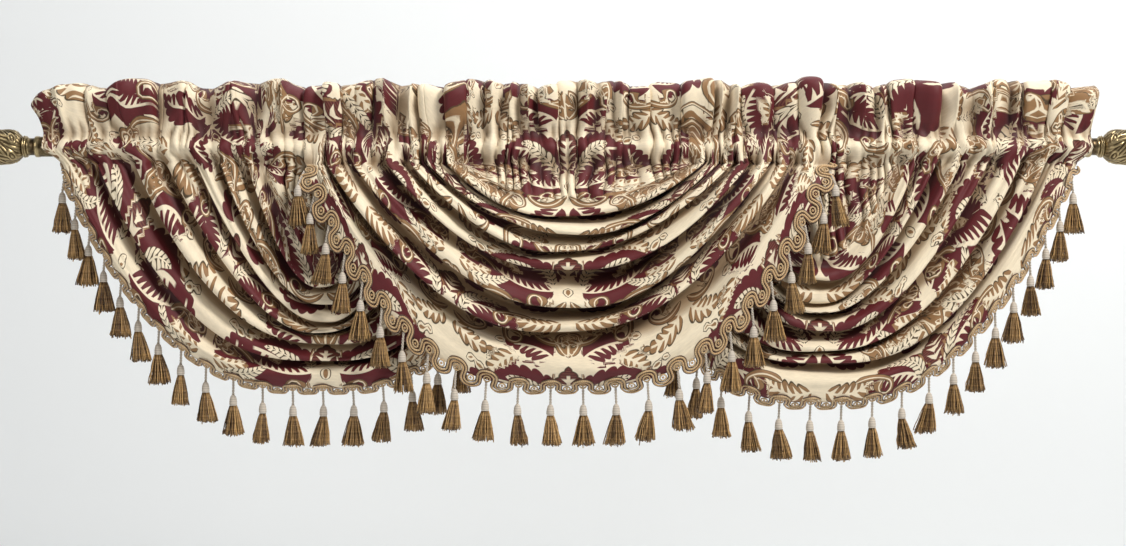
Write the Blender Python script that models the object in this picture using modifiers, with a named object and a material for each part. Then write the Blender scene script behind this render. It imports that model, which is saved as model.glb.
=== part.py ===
"""Three overlapping swag valances gathered on one curtain rod.

A wide heading with a rod pocket is shirred on a round rod with carved end finials. Three swags hang
from the lower edge of the pocket. The outer two hang behind and the middle one lies over both. Each
swag carries a braid along its curved hem, and tassels hang from the braid.

Frame: metres, +Z up, X along the rod, -Y towards the viewer. The origin is the middle of the rod's axis.
The swag tables are in millimetres, and MM turns them into metres.
"""
import math
from collections import namedtuple

import bmesh
import bpy
import numpy as np

MM = 0.001

# Rod and finials
ROD_RADIUS = 0.0135
ROD_HALF_LENGTH = 0.7215
ROD_SIDES = 20
COLLAR_RADIUS = 0.0150
COLLAR_WIDTH = 0.006
FINIAL_LENGTH = 0.084
FINIAL_SIDES = 20
FINIAL_LOBES = 5
FINIAL_TWIST = 1.5
FINIAL_CARVING = 0.10
CARVING_STARTS = 0.02
CARVING_LENGTH = 0.92
PART_GAP = 0.0003

# Cloth
CLOTH_THICKNESS = 0.0018
SWAG_TOP = -0.0254

# Heading: the cloth runs up the front, over the crown and down the back of the rod
HEADING_LEFT = -0.700
HEADING_RIGHT = 0.711
PLEAT_COUNT = 40
PLEAT_UNEVEN = 0.38
PLEAT_HEIGHT = 0.78
PLEAT_HEIGHT_VARIES = 0.22
PLEAT_SHAPE = ((0.0, 0.0), (0.36, 1.0), (0.72, 0.9))
CROWN_LEAN = 0.003
CROWN_FLARE_LEFT = 0.017
CROWN_FLARE_RIGHT = 0.010
CROWN_FLARE_REACH = 0.05
CROWN_DROOP_LEFT = 0.026
CROWN_DROOP_REACH = 0.018
CROWN_WAVE = 0.0035

# A row for each line of the heading's section: depth and height, how deep the pleats are there,
# and which way they bulge (-1 to the front, +1 to the back)
HeadingRow = namedtuple("HeadingRow", "depth height pleat side crown")
HEADING_ROWS = (
    HeadingRow(13.0, -23.2, 3.0, +1, 0),
    HeadingRow(19.5, -1.0, 4.0, +1, 0),
    HeadingRow(5.5, 21.5, 2.5, +1, 0),
    HeadingRow(-1.0, 84.0, 15.0, -1, 1),
    HeadingRow(-9.5, 82.0, 16.0, -1, 1),
    HeadingRow(-8.5, 18.5, 5.0, -1, 0),
    HeadingRow(-17.5, -2.0, 8.5, -1, 0),
    HeadingRow(-12.5, -23.2, 7.5, -1, 0),
)

# Swags: a row for each fold, from the gathers down to the hem. left and right are the half widths
# where the fold meets the pocket, drop is how far it hangs at the middle, bow is the exponent of its
# curve (a larger one is squarer) and relief is how far its roll stands out of the trough.
Fold = namedtuple("Fold", "name left right drop bow relief")
CENTRE_FOLDS = (
    Fold("shoulder", 140, 165, 50, 1.9, 0),
    Fold("roll_1", 160, 182, 76, 1.8, 14),
    Fold("roll_2", 186, 202, 95, 1.8, 13),
    Fold("roll_3", 209, 220, 117, 1.8, 15),
    Fold("roll_4", 240, 243, 147, 1.8, 18),
    Fold("roll_5", 286, 270, 190, 1.8, 20),
    Fold("roll_6", 320, 297, 225, 1.85, 19),
    Fold("band", 330, 320, 263, 2.0, 14),
    Fold("braid", 341, 340, 289, 2.15, 12),
    Fold("hem", 359, 360, 304, 2.6, 6),
)
LEFT_FOLDS = (
    Fold("shoulder", 85, 70, 135, 1.7, 0),
    Fold("roll_1", 105, 88, 163, 1.7, 12),
    Fold("roll_2", 140, 118, 192, 1.65, 12),
    Fold("roll_3", 173, 146, 208, 1.6, 12),
    Fold("roll_4", 214, 184, 226, 1.55, 13),
    Fold("roll_5", 256, 216, 243, 1.9, 14),
    Fold("roll_6", 306, 258, 259, 2.3, 13),
    Fold("band", 336, 278, 279, 2.3, 9),
    Fold("braid", 352, 291, 295, 2.3, 7),
    Fold("hem", 366, 303, 306, 2.27, -13),
)
RIGHT_FOLDS = (
    Fold("shoulder", 100, 105, 130, 1.7, 0),
    Fold("roll_1", 125, 130, 157, 1.75, 12),
    Fold("roll_2", 150, 157, 183, 1.55, 12),
    Fold("roll_3", 183, 190, 203, 1.5, 13),
    Fold("roll_4", 219, 227, 222, 1.65, 13),
    Fold("roll_5", 256, 268, 248, 2.0, 14),
    Fold("roll_6", 286, 303, 270, 2.05, 13),
    Fold("band", 306, 325, 286, 2.0, 9),
    Fold("braid", 319, 342, 312, 2.0, 7),
    Fold("hem", 330, 353, 326, 2.05, -11),
)

# How each swag hangs: its middle, the depth of its top edge, how far it swells out below that and how
# soon, how far its hem curls back at the lowest point, the least depth of its tassels, which side is
# covered, and its columns on each side
Swag = namedtuple("Swag", "name folds middle top_depth swell soon curl tassels covered columns_left columns_right")
SWAGS = (
    Swag("left", LEFT_FOLDS, -318, 9, 20, 70, 4, 0, +1, 8, 6),
    Swag("centre", CENTRE_FOLDS, 5, 18, 42, 22, 22, 57, 0, 10, 10),
    Swag("right", RIGHT_FOLDS, 343, 9, 20, 70, 4, 0, -1, 6, 8),
)

# Under the middle swag a fold and the swell shrink to these shares, between these places across
COVERED_RELIEF = 0.35
COVERED_SWELL = 0.55
COVER_STARTS = 0.25
COVER_ENDS = 0.70

# Share of a fold's relief left at the pocket, rounding of the curves' lowest point, and how the
# braid's upper and lower line curl back near the middle of a hem
END_RELIEF = 0.45
BOTTOM_ROUND = 0.14
HEM_CURL_SHARES = (0.35, 1.0)
CURL_REACH = 0.36
COLUMN_CROWDING = 0.22

# One fold, as steps from its face over the roll and under it to the trough: how far the step is
# towards the next fold (negative is back up, under the roll), and its share of the relief
FoldStep = namedtuple("FoldStep", "shift relief")
FACE_STEP = FoldStep(-0.45, 0.55)
ROLL_STEP = FoldStep(0.0, 1.0)
UNDER_STEP = FoldStep(-0.10, 0.35)
TROUGH_STEP = FoldStep(0.04, 0.0)

# Gathers between the pocket and the uppermost roll
GATHER_ROWS = (0.0, 0.5, 1.0)
GATHER_DEPTHS = (2.0, 4.5, 1.0)

# Braid and tassels
BRAID_THICKNESS = 0.0020
BRAID_GAP = 0.0030
BRAID_END = 0.0040
TASSEL_COUNT = 24
TASSEL_LEAN_FROM = 0.45
TASSEL_ROOT = 0.0030
TASSEL_CORD = 0.018
TASSEL_NECK = 0.014
TASSEL_SKIRT = 0.041
CORD_HALF_WIDTH = 0.0013
NECK_HALF_WIDTH = 0.0042
SKIRT_HALF_WIDTH = 0.0130
SKIRT_FLATTEN = 0.68
SKIRT_CORE = 0.0016
LOCK_GAP = 0.0004


def clear_scene():
    """Remove the objects that the opened file holds."""
    for old in list(bpy.data.objects):
        bpy.data.objects.remove(old, do_unlink=True)


def make_material(name, colour, roughness, metallic=0.0):
    """A plain Principled material."""
    material = bpy.data.materials.new(name)
    material.use_nodes = True
    shader = material.node_tree.nodes["Principled BSDF"]
    shader.inputs["Base Color"].default_value = (*colour, 1.0)
    shader.inputs["Roughness"].default_value = roughness
    shader.inputs["Metallic"].default_value = metallic
    return material


def add_object(name, mesh, material, collection, smooth_angle=40.0):
    """Put a mesh in the collection, shaded smooth up to an angle."""
    mesh.materials.append(material)
    mesh.shade_smooth()
    mesh.set_sharp_from_angle(angle=math.radians(smooth_angle))
    piece = bpy.data.objects.new(name, mesh)
    collection.objects.link(piece)
    return piece


def mesh_from(name, points, faces):
    """A mesh from an array of points and a list of faces."""
    mesh = bpy.data.meshes.new(name)
    mesh.from_pydata([tuple(point) for point in points], [], faces)
    mesh.validate()
    return mesh


def thicken(piece, thickness):
    """Give an open sheet its thickness, half to each side."""
    solidify = piece.modifiers.new("Thickness", "SOLIDIFY")
    solidify.thickness = thickness
    solidify.offset = 0.0
    solidify.use_rim = True


def turned_profile():
    """Finial profile from the collar outwards: share of the length and radius in metres."""
    return (
        (0.00, 0.0140), (0.03, 0.0185), (0.10, 0.0215), (0.25, 0.0230), (0.42, 0.0235),
        (0.58, 0.0215), (0.73, 0.0170), (0.86, 0.0112), (0.95, 0.0062), (1.00, 0.0022),
    )


def finial_mesh(name, side):
    """Rings of the turned profile, their radius waved into leaves that wind along the length."""
    angles = np.arange(FINIAL_SIDES) * math.tau / FINIAL_SIDES
    start = ROD_HALF_LENGTH + COLLAR_WIDTH + 2 * PART_GAP
    rings = []
    for share, radius in turned_profile():
        wave = np.cos(FINIAL_LOBES * (angles + FINIAL_TWIST * share))
        body = math.sin(math.pi * min(max((share - CARVING_STARTS) / CARVING_LENGTH, 0.0), 1.0))
        radii = radius * (1.0 + FINIAL_CARVING * body * wave)
        along = np.full(FINIAL_SIDES, side * (start + share * FINIAL_LENGTH))
        rings.append(np.stack([along, radii * np.cos(angles), radii * np.sin(angles)], axis=1))
    mesh = mesh_from(name, np.concatenate(rings), closed_loft_faces(len(rings), FINIAL_SIDES))
    return outward(mesh)


def closed_loft_faces(sections, corners):
    """Faces of a loft through closed sections, with a cap on each end."""
    faces = []
    for row in range(sections - 1):
        for corner in range(corners):
            after = (corner + 1) % corners
            faces.append((row * corners + corner, row * corners + after,
                          (row + 1) * corners + after, (row + 1) * corners + corner))
    last = (sections - 1) * corners
    faces.append(tuple(range(corners)))
    faces.append(tuple(last + corner for corner in reversed(range(corners))))
    return faces


def outward(mesh):
    """Turn a closed mesh's faces to the outside."""
    form = bmesh.new()
    form.from_mesh(mesh)
    bmesh.ops.recalc_face_normals(form, faces=form.faces)
    form.to_mesh(mesh)
    form.free()
    return mesh


def cylinder_mesh(name, radius, length, middle_x):
    """A cylinder along X."""
    form = bmesh.new()
    bmesh.ops.create_cone(form, cap_ends=True, segments=ROD_SIDES, radius1=radius, radius2=radius, depth=length)
    for vert in form.verts:
        x, y, z = vert.co
        vert.co = (z + middle_x, y, -x)
    mesh = bpy.data.meshes.new(name)
    form.to_mesh(mesh)
    form.free()
    return mesh


def fold_rows(folds):
    """Key rows down a swag as an array: left, right, drop, bow, relief and the hem's share of curl."""
    table = np.array([(*fold[1:], 0.0) for fold in folds], dtype=float)
    table[-2:, 5] = HEM_CURL_SHARES
    rows = [table[0]]
    last_roll = len(folds) - 4
    for index in range(1, last_roll + 1):
        above, fold, below = table[index - 1], table[index], table[index + 1]
        for step in (FACE_STEP, ROLL_STEP, UNDER_STEP, TROUGH_STEP):
            neighbour = below if step.shift > 0.0 else above
            row = fold + abs(step.shift) * (neighbour - fold)
            row[4] = step.relief * fold[4]
            rows.append(row)
    rows.extend(table[last_roll + 1:])
    return np.array(rows)


def sheet_points(swag, rows, across):
    """Points of a swag, rows by columns.

    Each row is a hanging curve: its drop falls away from the middle as one minus the distance to the
    power of its bow, where the distance is rounded off near the middle. The depth is the top edge's,
    plus a swell that grows with the drop, plus the relief of the fold. Under another swag the swell
    and relief are less.
    """
    left, right, drop, bow, relief, curl = (rows[:, [column]] for column in range(6))
    reach = np.where(across < 0.0, left, right)
    x = swag.middle + reach * across
    rounded = np.hypot(across, BOTTOM_ROUND) - BOTTOM_ROUND
    rounded = rounded / (math.hypot(1.0, BOTTOM_ROUND) - BOTTOM_ROUND)
    hang = drop * (1.0 - rounded ** bow)
    grown = 1.0 - np.exp(-hang / swag.soon)
    cover = np.clip((swag.covered * across - COVER_STARTS) / (COVER_ENDS - COVER_STARTS), 0.0, 1.0)
    swell = swag.swell * grown * (1.0 - (1.0 - COVERED_SWELL) * cover)
    fold = relief * (END_RELIEF + (1.0 - END_RELIEF) * grown) * (1.0 - (1.0 - COVERED_RELIEF) * cover)
    curled = swag.curl * curl * np.exp(-(across / CURL_REACH) ** 2)
    y = -(swag.top_depth + swell + fold - curled)
    z = SWAG_TOP / MM - hang
    return np.stack(np.broadcast_arrays(x, y, z), axis=2) * MM


def columns_across(count_left, count_right):
    """Positions from -1 to 1 across a swag, closer together towards its ends."""
    even = np.concatenate([np.linspace(-1.0, 0.0, count_left + 1), np.linspace(0.0, 1.0, count_right + 1)[1:]])
    return even * (1.0 + COLUMN_CROWDING - COLUMN_CROWDING * even ** 2)


def swag_mesh(swag):
    """One swag's cloth: the folds as a grid, and the gathers above them with twice the columns."""
    coarse = columns_across(swag.columns_left, swag.columns_right)
    fine = np.interp(np.arange(2 * len(coarse) - 1) / 2.0, np.arange(len(coarse)), coarse)
    rows = fold_rows(swag.folds)
    folds = sheet_points(swag, rows[1:-1], coarse)
    shoulder = sheet_points(swag, rows[:1], fine)[0]
    top = np.stack([shoulder[:, 0], np.full(len(fine), -swag.top_depth * MM), np.full(len(fine), SWAG_TOP)], axis=1)
    gathers = []
    zigzag = np.where(np.arange(len(fine)) % 2, 1.0, -1.0) * (1.0 - fine ** 8)
    for share, depth in zip(GATHER_ROWS, GATHER_DEPTHS):
        line = top + share * (shoulder - top)
        line[:, 1] += zigzag * depth * MM
        gathers.append(line)
    gathers = np.array(gathers)
    many, few = len(fine), len(coarse)
    faces = grid_faces(len(gathers), many, 0)
    base = gathers.shape[0] * many
    bottom = base - many
    for cell in range(few - 1):
        faces.append((bottom + 2 * cell, bottom + 2 * cell + 1, bottom + 2 * cell + 2, base + cell + 1, base + cell))
    faces.extend(grid_faces(len(folds), few, base))
    points = np.concatenate([gathers.reshape(-1, 3), folds.reshape(-1, 3)])
    mesh = mesh_from(f"swag_{swag.name}", points, faces)
    form = bmesh.new()
    form.from_mesh(mesh)
    bmesh.ops.remove_doubles(form, verts=form.verts, dist=0.0001)
    form.to_mesh(mesh)
    form.free()
    return mesh


def grid_faces(row_count, column_count, start):
    """Quads of a grid of points, numbered row by row from start."""
    return [
        (start + row * column_count + column, start + row * column_count + column + 1,
         start + (row + 1) * column_count + column + 1, start + (row + 1) * column_count + column)
        for row in range(row_count - 1) for column in range(column_count - 1)
    ]


def heading_columns():
    """The heading's columns: place along the rod, pleat height from 0 to 1, and the crown's lean."""
    number = np.arange(PLEAT_COUNT)
    widths = 1.0 + PLEAT_UNEVEN * np.sin(2.4 * number) + 0.5 * PLEAT_UNEVEN * np.sin(5.3 * number + 1.0)
    edges = np.concatenate([[0.0], np.cumsum(widths)]) / widths.sum()
    heights = PLEAT_HEIGHT + PLEAT_HEIGHT_VARIES * np.sin(3.7 * number + 0.6)
    shares, rises = np.array(PLEAT_SHAPE).T
    place = np.append((edges[:-1, None] + np.diff(edges)[:, None] * shares).ravel(), 1.0)
    pleat = np.append((heights[:, None] * rises).ravel(), 0.0)
    lean = CROWN_LEAN * (np.sin(place * 61.0) + 0.7 * np.sin(place * 143.0 + 2.0))
    return HEADING_LEFT + place * (HEADING_RIGHT - HEADING_LEFT), pleat, lean


def heading_mesh():
    """The heading: its section is carried along the rod and waved by the pleats."""
    x, pleat, lean = heading_columns()
    flare_left = CROWN_FLARE_LEFT * np.exp(-(x - HEADING_LEFT) / CROWN_FLARE_REACH)
    flare_right = CROWN_FLARE_RIGHT * np.exp(-(HEADING_RIGHT - x) / CROWN_FLARE_REACH)
    droop = CROWN_DROOP_LEFT * np.exp(-(x - HEADING_LEFT) / CROWN_DROOP_REACH)
    wave = CROWN_WAVE * (np.sin(x * 43.0) + 0.7 * np.sin(x * 97.0 + 1.0))
    lines = []
    for row in HEADING_ROWS:
        bulge = pleat if row.side < 0 else 1.0 - pleat
        depth = row.depth * MM + row.side * row.pleat * MM * bulge
        height = row.height * MM + row.crown * (wave - droop)
        along = x + row.crown * (lean - flare_left + flare_right)
        lines.append(np.stack([along, depth, height * np.ones_like(x)], axis=1))
    points = np.array(lines)
    return mesh_from("heading", points.reshape(-1, 3), grid_faces(len(lines), len(x), 0))


def hem_lines(swag, across):
    """Upper and lower line of the braid. The upper one lies along the facets of the cloth's edge."""
    coarse = columns_across(swag.columns_left, swag.columns_right)
    grid = sheet_points(swag, fold_rows(swag.folds)[-2:], coarse)
    return [np.stack([np.interp(across, coarse, line[:, axis]) for axis in range(3)], axis=1) for line in grid]


def hem_columns(swag):
    """Positions along a hem: two for each tassel's root, at even steps of the hem's own length."""
    dense = np.linspace(-1.0, 1.0, 801)
    hem = hem_lines(swag, dense)[1]
    steps = np.linalg.norm(np.diff(hem, axis=0), axis=1)
    length = np.concatenate([[0.0], np.cumsum(steps)])
    centres = (np.arange(TASSEL_COUNT) + 0.5) * length[-1] / TASSEL_COUNT
    roots = np.stack([centres - TASSEL_ROOT / 2, centres + TASSEL_ROOT / 2], axis=1).ravel()
    places = np.concatenate([[BRAID_END], roots, [length[-1] - BRAID_END]])
    return np.interp(places, length, dense)


def fringe_mesh(swag):
    """Braid along the hem with its tassels.

    The braid is a flat strip that carries on from the cloth's edge, parted from it by a small gap. A
    tassel grows down from the strip's lower edge at each pair of close columns.
    """
    across = hem_columns(swag)
    upper, lower = hem_lines(swag, across)
    along = np.gradient(lower, axis=0)
    down = lower - upper
    front = np.cross(down, along)
    front /= np.linalg.norm(front, axis=1, keepdims=True)
    upper = upper + BRAID_GAP * down / np.linalg.norm(down, axis=1, keepdims=True)
    half = front * BRAID_THICKNESS / 2
    sections = np.stack([upper + half, lower + half, lower - half, upper - half], axis=1)
    mesh = mesh_from(f"fringe_{swag.name}", sections.reshape(-1, 3), closed_loft_faces(len(sections), 4))
    form = bmesh.new()
    form.from_mesh(mesh)
    bmesh.ops.recalc_face_normals(form, faces=form.faces)
    form.verts.ensure_lookup_table()
    roots = []
    for column in range(1, len(across) - 1, 2):
        ends = (4 * column + 1, 4 * column + 2, 4 * column + 5, 4 * column + 6)
        corners = {form.verts[index] for index in ends}
        least_depth = swag.tassels * MM if abs(across[column]) > TASSEL_LEAN_FROM else 0.0
        roots.append((next(face for face in form.faces if set(face.verts) == corners), least_depth))
    for root, least_depth in roots:
        add_tassel(form, root, least_depth)
    form.to_mesh(mesh)
    form.free()
    return mesh


def add_tassel(form, root, least_depth):
    """Cord, neck and four locks, drawn down from one small face of the braid's edge.

    Over another swag's cloth the tassel hangs a little forward, at least_depth.
    """
    middle = root.calc_center_median()
    hang_y = min(middle.y, -least_depth)
    face = root
    signs = [None] * 4
    by_x = sorted(range(4), key=lambda corner: root.verts[corner].co.x)
    for pair, side in ((by_x[:2], -1.0), (by_x[2:], 1.0)):
        front, back = sorted(pair, key=lambda corner: root.verts[corner].co.y)
        signs[front] = (side, -1.0)
        signs[back] = (side, 1.0)
    for drop, half in ((TASSEL_CORD, CORD_HALF_WIDTH), (TASSEL_CORD + TASSEL_NECK, NECK_HALF_WIDTH)):
        face = bmesh.ops.extrude_discrete_faces(form, faces=[face])["faces"][0]
        for vert, (side, depth) in zip(face.verts, signs):
            vert.co = (middle.x + side * half, hang_y + depth * half, middle.z - drop)
    quarters = bmesh.ops.poke(form, faces=[face])["faces"]
    bmesh.ops.inset_individual(form, faces=quarters, thickness=LOCK_GAP, use_even_offset=True)
    locks = bmesh.ops.extrude_discrete_faces(form, faces=quarters)["faces"]
    spread = (SKIRT_HALF_WIDTH - SKIRT_CORE) / NECK_HALF_WIDTH
    foot = middle.z - TASSEL_CORD - TASSEL_NECK - TASSEL_SKIRT
    for lock in locks:
        centre = lock.calc_center_median()
        sideways = abs(centre.x - middle.x) > abs(centre.y - hang_y)
        out_x = math.copysign(SKIRT_CORE, centre.x - middle.x) if sideways else 0.0
        out_y = 0.0 if sideways else math.copysign(SKIRT_CORE, centre.y - hang_y)
        for vert in lock.verts:
            vert.co = (middle.x + (vert.co.x - middle.x) * spread + out_x,
                       hang_y + ((vert.co.y - hang_y) * spread + out_y) * SKIRT_FLATTEN, foot)


def build():
    """Make every piece in its own collection."""
    clear_scene()
    collection = bpy.data.collections.new("swag_valance_with_rod")
    bpy.context.scene.collection.children.link(collection)
    damask = make_material("damask_cloth", (0.78, 0.70, 0.56), 0.85)
    trim = make_material("braid_and_tassels", (0.42, 0.28, 0.12), 0.55)
    bronze = make_material("aged_bronze", (0.24, 0.19, 0.13), 0.40, 0.9)

    add_object("rod", cylinder_mesh("rod", ROD_RADIUS, 2 * ROD_HALF_LENGTH, 0.0), bronze, collection)
    collar_middle = ROD_HALF_LENGTH + PART_GAP + COLLAR_WIDTH / 2
    for side, name in ((-1, "left"), (1, "right")):
        collar = cylinder_mesh(f"collar_{name}", COLLAR_RADIUS, COLLAR_WIDTH, side * collar_middle)
        add_object(f"collar_{name}", collar, bronze, collection)
        add_object(f"finial_{name}", finial_mesh(f"finial_{name}", side), bronze, collection)

    heading = add_object("heading", heading_mesh(), damask, collection)
    thicken(heading, CLOTH_THICKNESS)
    for swag in SWAGS:
        cloth = add_object(f"swag_{swag.name}", swag_mesh(swag), damask, collection)
        thicken(cloth, CLOTH_THICKNESS)
        add_object(f"fringe_{swag.name}", fringe_mesh(swag), trim, collection)


build()
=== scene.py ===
# %% [markdown]
# # Three swag valances on a curtain rod
# The set hangs from one round rod. Each valance is a cloth with a pocket near its top. The rod
# gathers it, the cloth above the pocket stands up as a ruffle, and the cloth below it hangs in
# swags, which are sets of nested folds. A braid and tassels finish the curved hems.
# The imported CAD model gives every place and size. This script dresses it, piece by piece.

import math
from collections import namedtuple

import bmesh
import bpy
import numpy as np
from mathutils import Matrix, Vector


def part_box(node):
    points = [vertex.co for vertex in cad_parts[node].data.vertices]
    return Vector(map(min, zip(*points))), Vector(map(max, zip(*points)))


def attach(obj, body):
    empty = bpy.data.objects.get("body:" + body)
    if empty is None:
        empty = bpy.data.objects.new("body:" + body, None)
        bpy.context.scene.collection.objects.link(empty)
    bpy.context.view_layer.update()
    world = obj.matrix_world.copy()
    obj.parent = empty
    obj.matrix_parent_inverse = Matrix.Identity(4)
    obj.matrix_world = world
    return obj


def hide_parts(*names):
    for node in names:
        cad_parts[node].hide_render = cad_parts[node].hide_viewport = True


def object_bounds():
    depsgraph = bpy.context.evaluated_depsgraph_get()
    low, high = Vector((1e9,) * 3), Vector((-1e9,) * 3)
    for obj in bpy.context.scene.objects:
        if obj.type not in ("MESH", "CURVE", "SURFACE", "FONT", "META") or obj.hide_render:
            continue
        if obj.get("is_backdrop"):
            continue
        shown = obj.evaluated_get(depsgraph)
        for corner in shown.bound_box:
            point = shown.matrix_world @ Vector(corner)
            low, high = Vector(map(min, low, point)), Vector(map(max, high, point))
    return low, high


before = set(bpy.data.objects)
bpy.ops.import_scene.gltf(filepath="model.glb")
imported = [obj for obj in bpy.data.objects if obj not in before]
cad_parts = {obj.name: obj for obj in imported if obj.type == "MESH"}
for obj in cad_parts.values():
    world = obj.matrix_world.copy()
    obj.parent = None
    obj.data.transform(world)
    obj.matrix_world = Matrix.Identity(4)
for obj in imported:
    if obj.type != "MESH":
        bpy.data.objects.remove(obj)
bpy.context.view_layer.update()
MM = 0.001
rng = np.random.default_rng(11)
_, rod_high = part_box("rod")
rod_half = rod_high.x
rod_radius = rod_high.z
print(f"rod: {2 * rod_half:.3f} m long, {2000 * rod_radius:.0f} mm thick")

# %% [markdown]
# ## Meshes from arrays
# Every new piece is a surface worked out with numpy. Its points lie in a grid of rows and
# columns, so a face is made from each grid cell. These helpers turn such grids into a Blender
# mesh in one go, which is far faster than adding one vertex at a time. A UV map keeps the place
# of each corner on the flat material, so that a pattern can follow the folds.


# %% Grid faces
def cells(index):
    """Corner numbers of each cell of a grid of point numbers, rows by columns, four to a cell."""
    corners = [index[:-1, :-1], index[1:, :-1], index[1:, 1:], index[:-1, 1:]]
    return np.stack(corners, axis=-1).reshape(-1, 4)


def build_mesh(name, points, faces, flat=None, fields=None):
    """A mesh from points in metres and arrays of faces, one array for each number of corners.

    flat holds the place of every corner on the flat material. fields are named vectors of every
    corner.
    """
    mesh = bpy.data.meshes.new(name)
    corners = np.concatenate([array.ravel() for array in faces]).astype(np.int32)
    sizes = np.concatenate([np.full(len(array), array.shape[1]) for array in faces])
    mesh.vertices.add(len(points))
    mesh.vertices.foreach_set("co", np.asarray(points, dtype=np.float32).ravel())
    mesh.loops.add(len(corners))
    mesh.loops.foreach_set("vertex_index", corners)
    mesh.polygons.add(len(sizes))
    mesh.polygons.foreach_set("loop_start", (np.cumsum(sizes) - sizes).astype(np.int32))
    mesh.update(calc_edges=True)
    if flat is not None:
        mesh.uv_layers.new(name="flat").data.foreach_set("uv", np.asarray(flat, dtype=np.float32).ravel())
    for field, values in (fields or {}).items():
        layer = mesh.attributes.new(field, "FLOAT_VECTOR", "CORNER")
        layer.data.foreach_set("vector", np.asarray(values, dtype=np.float32).ravel())
    mesh.validate()
    return mesh


def add_piece(name, mesh, material, nodes=(), outward=False, merge=0.0):
    """Link a mesh as a piece that rides on the root body and takes the place of CAD nodes."""
    if outward or merge:
        form = bmesh.new()
        form.from_mesh(mesh)
        if merge:
            bmesh.ops.remove_doubles(form, verts=form.verts, dist=merge)
        if outward:
            bmesh.ops.recalc_face_normals(form, faces=form.faces)
        form.to_mesh(mesh)
        form.free()
    mesh.shade_smooth()
    mesh.materials.append(material)
    piece = bpy.data.objects.new(name, mesh)
    bpy.context.scene.collection.objects.link(piece)
    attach(piece, "root")
    if nodes:
        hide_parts(*nodes)
    triangles = sum(len(face.vertices) - 2 for face in mesh.polygons)
    print(f"{name}: {triangles} triangles")
    return piece


# %% [markdown]
# ## Swag tables
# A swag is a stack of folds that hang in nested curves from the lower edge of the pocket. Each
# fold needs only a few numbers: how far to the left and right it meets the pocket, how deep it
# hangs at the middle, how square its curve is, and how far its roll stands out. The tables
# follow the solids of the CAD model, in millimetres.

# %% Swag tables
SWAG_TOP = -25.4
Fold = namedtuple("Fold", "name left right drop bow relief")
CENTRE_FOLDS = (
    Fold("shoulder", 140, 165, 50, 1.9, 0),
    Fold("roll_1", 160, 182, 76, 1.8, 14),
    Fold("roll_2", 186, 202, 95, 1.8, 13),
    Fold("roll_3", 209, 220, 117, 1.8, 15),
    Fold("roll_4", 240, 243, 147, 1.8, 18),
    Fold("roll_5", 286, 270, 190, 1.8, 20),
    Fold("roll_6", 320, 297, 225, 1.85, 19),
    Fold("band", 330, 320, 263, 2.0, 14),
    Fold("braid", 341, 340, 289, 2.15, 12),
    Fold("hem", 359, 360, 304, 2.6, 6),
)
LEFT_FOLDS = (
    Fold("shoulder", 85, 70, 135, 1.7, 0),
    Fold("roll_1", 105, 88, 163, 1.7, 12),
    Fold("roll_2", 140, 118, 192, 1.65, 12),
    Fold("roll_3", 173, 146, 208, 1.6, 12),
    Fold("roll_4", 214, 184, 226, 1.55, 13),
    Fold("roll_5", 256, 216, 243, 1.9, 14),
    Fold("roll_6", 306, 258, 259, 2.3, 13),
    Fold("band", 336, 278, 279, 2.3, 9),
    Fold("braid", 352, 291, 295, 2.3, 7),
    Fold("hem", 366, 303, 306, 2.27, -13),
)
RIGHT_FOLDS = (
    Fold("shoulder", 100, 105, 130, 1.7, 0),
    Fold("roll_1", 125, 130, 157, 1.75, 12),
    Fold("roll_2", 150, 157, 183, 1.55, 12),
    Fold("roll_3", 183, 190, 203, 1.5, 13),
    Fold("roll_4", 219, 227, 222, 1.65, 13),
    Fold("roll_5", 256, 268, 248, 2.0, 14),
    Fold("roll_6", 286, 303, 270, 2.05, 13),
    Fold("band", 306, 325, 286, 2.0, 9),
    Fold("braid", 319, 342, 312, 2.0, 7),
    Fold("hem", 330, 353, 326, 2.05, -11),
)

# How each swag hangs: its middle, the depth of its top edge, how far it swells out below that
# and how soon, how far its hem curls back, the least depth of its tassels, the side that
# another swag covers, its columns, and a phase that makes its unevenness its own
Swag = namedtuple("Swag", "name folds middle top_depth swell soon curl tassels covered columns phase")
SWAGS = (
    Swag("left", LEFT_FOLDS, -318, 9, 20, 70, 4, 0, +1, 120, 0.4),
    Swag("centre", CENTRE_FOLDS, 5, 18, 42, 22, 22, 57, 0, 176, 2.1),
    Swag("right", RIGHT_FOLDS, 343, 9, 20, 70, 4, 0, -1, 120, 3.7),
)
COVERED_RELIEF, COVERED_SWELL = 0.35, 0.55
COVER_STARTS, COVER_ENDS = 0.25, 0.70
END_RELIEF = 0.80
BOTTOM_ROUND = 0.14
HEM_CURL_SHARES = (0.35, 1.0)
CURL_REACH = 0.36

# %% [markdown]
# ## One fold
# Seen from the side, a fold comes forward over its face, rolls over, and tucks back under its
# roll to the next trough. Five steps describe that, and each is a row between two folds of the
# table. A smooth curve through all those rows then gives the cloth. The rows lie closer together
# on the band above the hem, where the cloth is nearly flat and shows most of its pattern.

# %% Rows down a swag
FoldStep = namedtuple("FoldStep", "shift relief")
FOLD_STEPS = (
    FoldStep(-0.60, 0.05),
    FoldStep(-0.30, 0.92),
    FoldStep(-0.02, 0.92),
    FoldStep(-0.10, 0.05),
    FoldStep(0.05, -1.00),
)
ROWS_PER_STEP = 4
BAND_STEPS, ROWS_PER_BAND_STEP = 3, 10
CLOTH_UNDER_BRAID = 0.45
SwagRow = namedtuple("SwagRow", "left right drop bow relief curl fold")


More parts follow.
